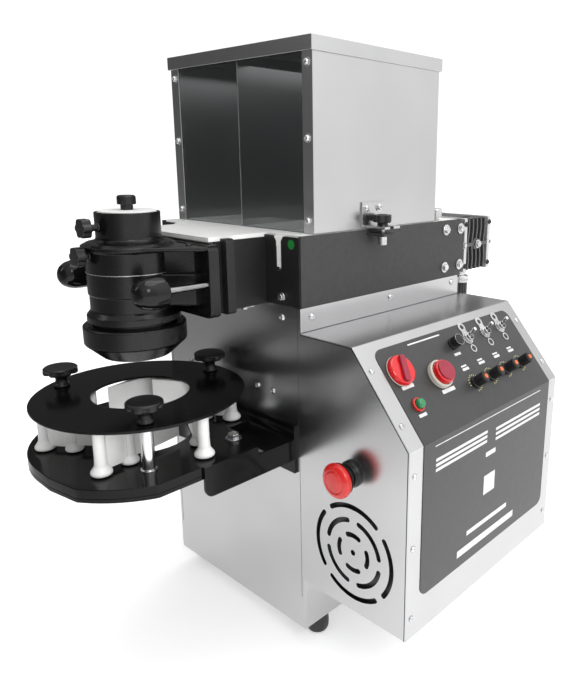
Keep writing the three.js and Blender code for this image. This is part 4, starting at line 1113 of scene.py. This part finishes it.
def build_floor():
    """A white floor that darkens in reflections towards the front left."""
    mesh = bpy.data.meshes.new("floor")
    bm = bmesh.new()
    bmesh.ops.create_grid(bm, x_segments=8, y_segments=8, size=6)
    bm.to_mesh(mesh)
    bm.free()
    pale = bpy.data.materials.new("floor_pale")
    pale.use_nodes = True
    tree = Tree(pale.node_tree)
    where = tree.add("TexCoord").outputs["Object"]
    ahead = tree.add("VectorMath", {0: where, 1: FRONT_LEFT}, operation="DOT_PRODUCT")
    start, end, near, far = FLOOR_FADE
    fade = tree.add("MapRange", {
        "Value": ahead.outputs["Value"], "From Min": start, "From Max": end, "To Min": near,
        "To Max": far}, interpolation_type="SMOOTHSTEP")
    seen = tree.add("LightPath").outputs["Is Camera Ray"]
    tone = tree.add("Math", {0: fade.outputs["Result"], 1: seen}, operation="MAXIMUM").outputs[0]
    glow = tree.add("Math", {0: tone, 1: FLOOR_GLOW}, operation="MULTIPLY").outputs[0]
    shader = pale.node_tree.nodes["Principled BSDF"]
    for socket, value in (
            ("Roughness", 0.8), ("Specular IOR Level", 0.0), ("Emission Color", (1, 1, 1, 1)),
            ("Base Color", tone), ("Emission Strength", glow)):
        tree.give(shader.inputs[socket], value)
    mesh.materials.append(pale)
    placed("floor", mesh)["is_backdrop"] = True


def build_room():
    """A room that is bright on its right and dark in front. The camera itself sees white."""
    world = bpy.data.worlds.new("studio")
    bpy.context.scene.world = world
    world.use_nodes = True
    world.node_tree.nodes.clear()
    tree = Tree(world.node_tree)
    where = tree.add("TexCoord").outputs["Generated"]
    total = ROOM_BASE
    for direction, start, end, strength in ROOM:
        dot = tree.add("VectorMath", {0: where, 1: Vector(direction).normalized()},
                       operation="DOT_PRODUCT")
        lit = tree.add("MapRange", {
            "Value": dot.outputs["Value"], "From Min": start, "From Max": end, "To Min": 0.0,
            "To Max": strength}, interpolation_type="SMOOTHSTEP")
        total = tree.add("Math", {0: lit.outputs["Result"], 1: total}, operation="ADD").outputs[0]
    room = tree.add("Background", {"Strength": total})
    white = tree.add("Background", {"Color": (1, 1, 1, 1), "Strength": 1.1})
    seen = tree.add("LightPath").outputs["Is Camera Ray"]
    mix = tree.add("MixShader", {0: seen, 1: room.outputs[0], 2: white.outputs[0]})
    tree.add("OutputWorld", {"Surface": mix.outputs[0]})


def area_lamp(name, power, **settings):
    """A lamp that the camera doesn't see."""
    data = bpy.data.lights.new(name, "AREA")
    data.energy = power
    for key, value in settings.items():
        setattr(data, key, value)
    lamp = placed(name, data)
    lamp.visible_camera = False
    return lamp


def build_lamps():
    low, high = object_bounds()
    for name, offset, width, height, power in LAMPS:
        lamp = area_lamp(name, power, shape="RECTANGLE", size=width, size_y=height)
        lamp.location = (low + high) / 2 + Vector(offset)
        lamp.rotation_euler = (-Vector(offset)).to_track_quat("-Z", "Y").to_euler()
    lamp = area_lamp("hopper_glow", HOPPER_GLOW, size=0.2)
    lamp.location = WORK @ HOPPER_LAMP
    lamp.visible_transmission = False


def build_camera():
    """The photograph's viewing angle, with its framing as a lens and a shift."""
    azimuth, elevation, roll = (math.radians(v) for v in CAMERA_TURNS)
    back = Vector((math.sin(azimuth) * math.cos(elevation),
                   -math.cos(azimuth) * math.cos(elevation), math.sin(elevation)))
    right = Vector((0, 0, 1)).cross(back).normalized()
    up = back.cross(right)
    turned_right = right * math.cos(roll) + up * math.sin(roll)
    turned_up = up * math.cos(roll) - right * math.sin(roll)
    data = bpy.data.cameras.new("camera")
    data.sensor_width = 36
    data.lens = CAMERA_LENS
    data.shift_x, data.shift_y = CAMERA_SHIFT
    camera = placed("camera", data)
    camera.matrix_world = Matrix.Translation(WORK @ CAMERA_PLACE) @ Matrix(
        (turned_right, turned_up, back)).transposed().to_4x4()
    bpy.context.scene.camera = camera


build_floor()
build_room()
build_lamps()
build_camera()
bpy.context.scene.view_settings.view_transform = "Standard"
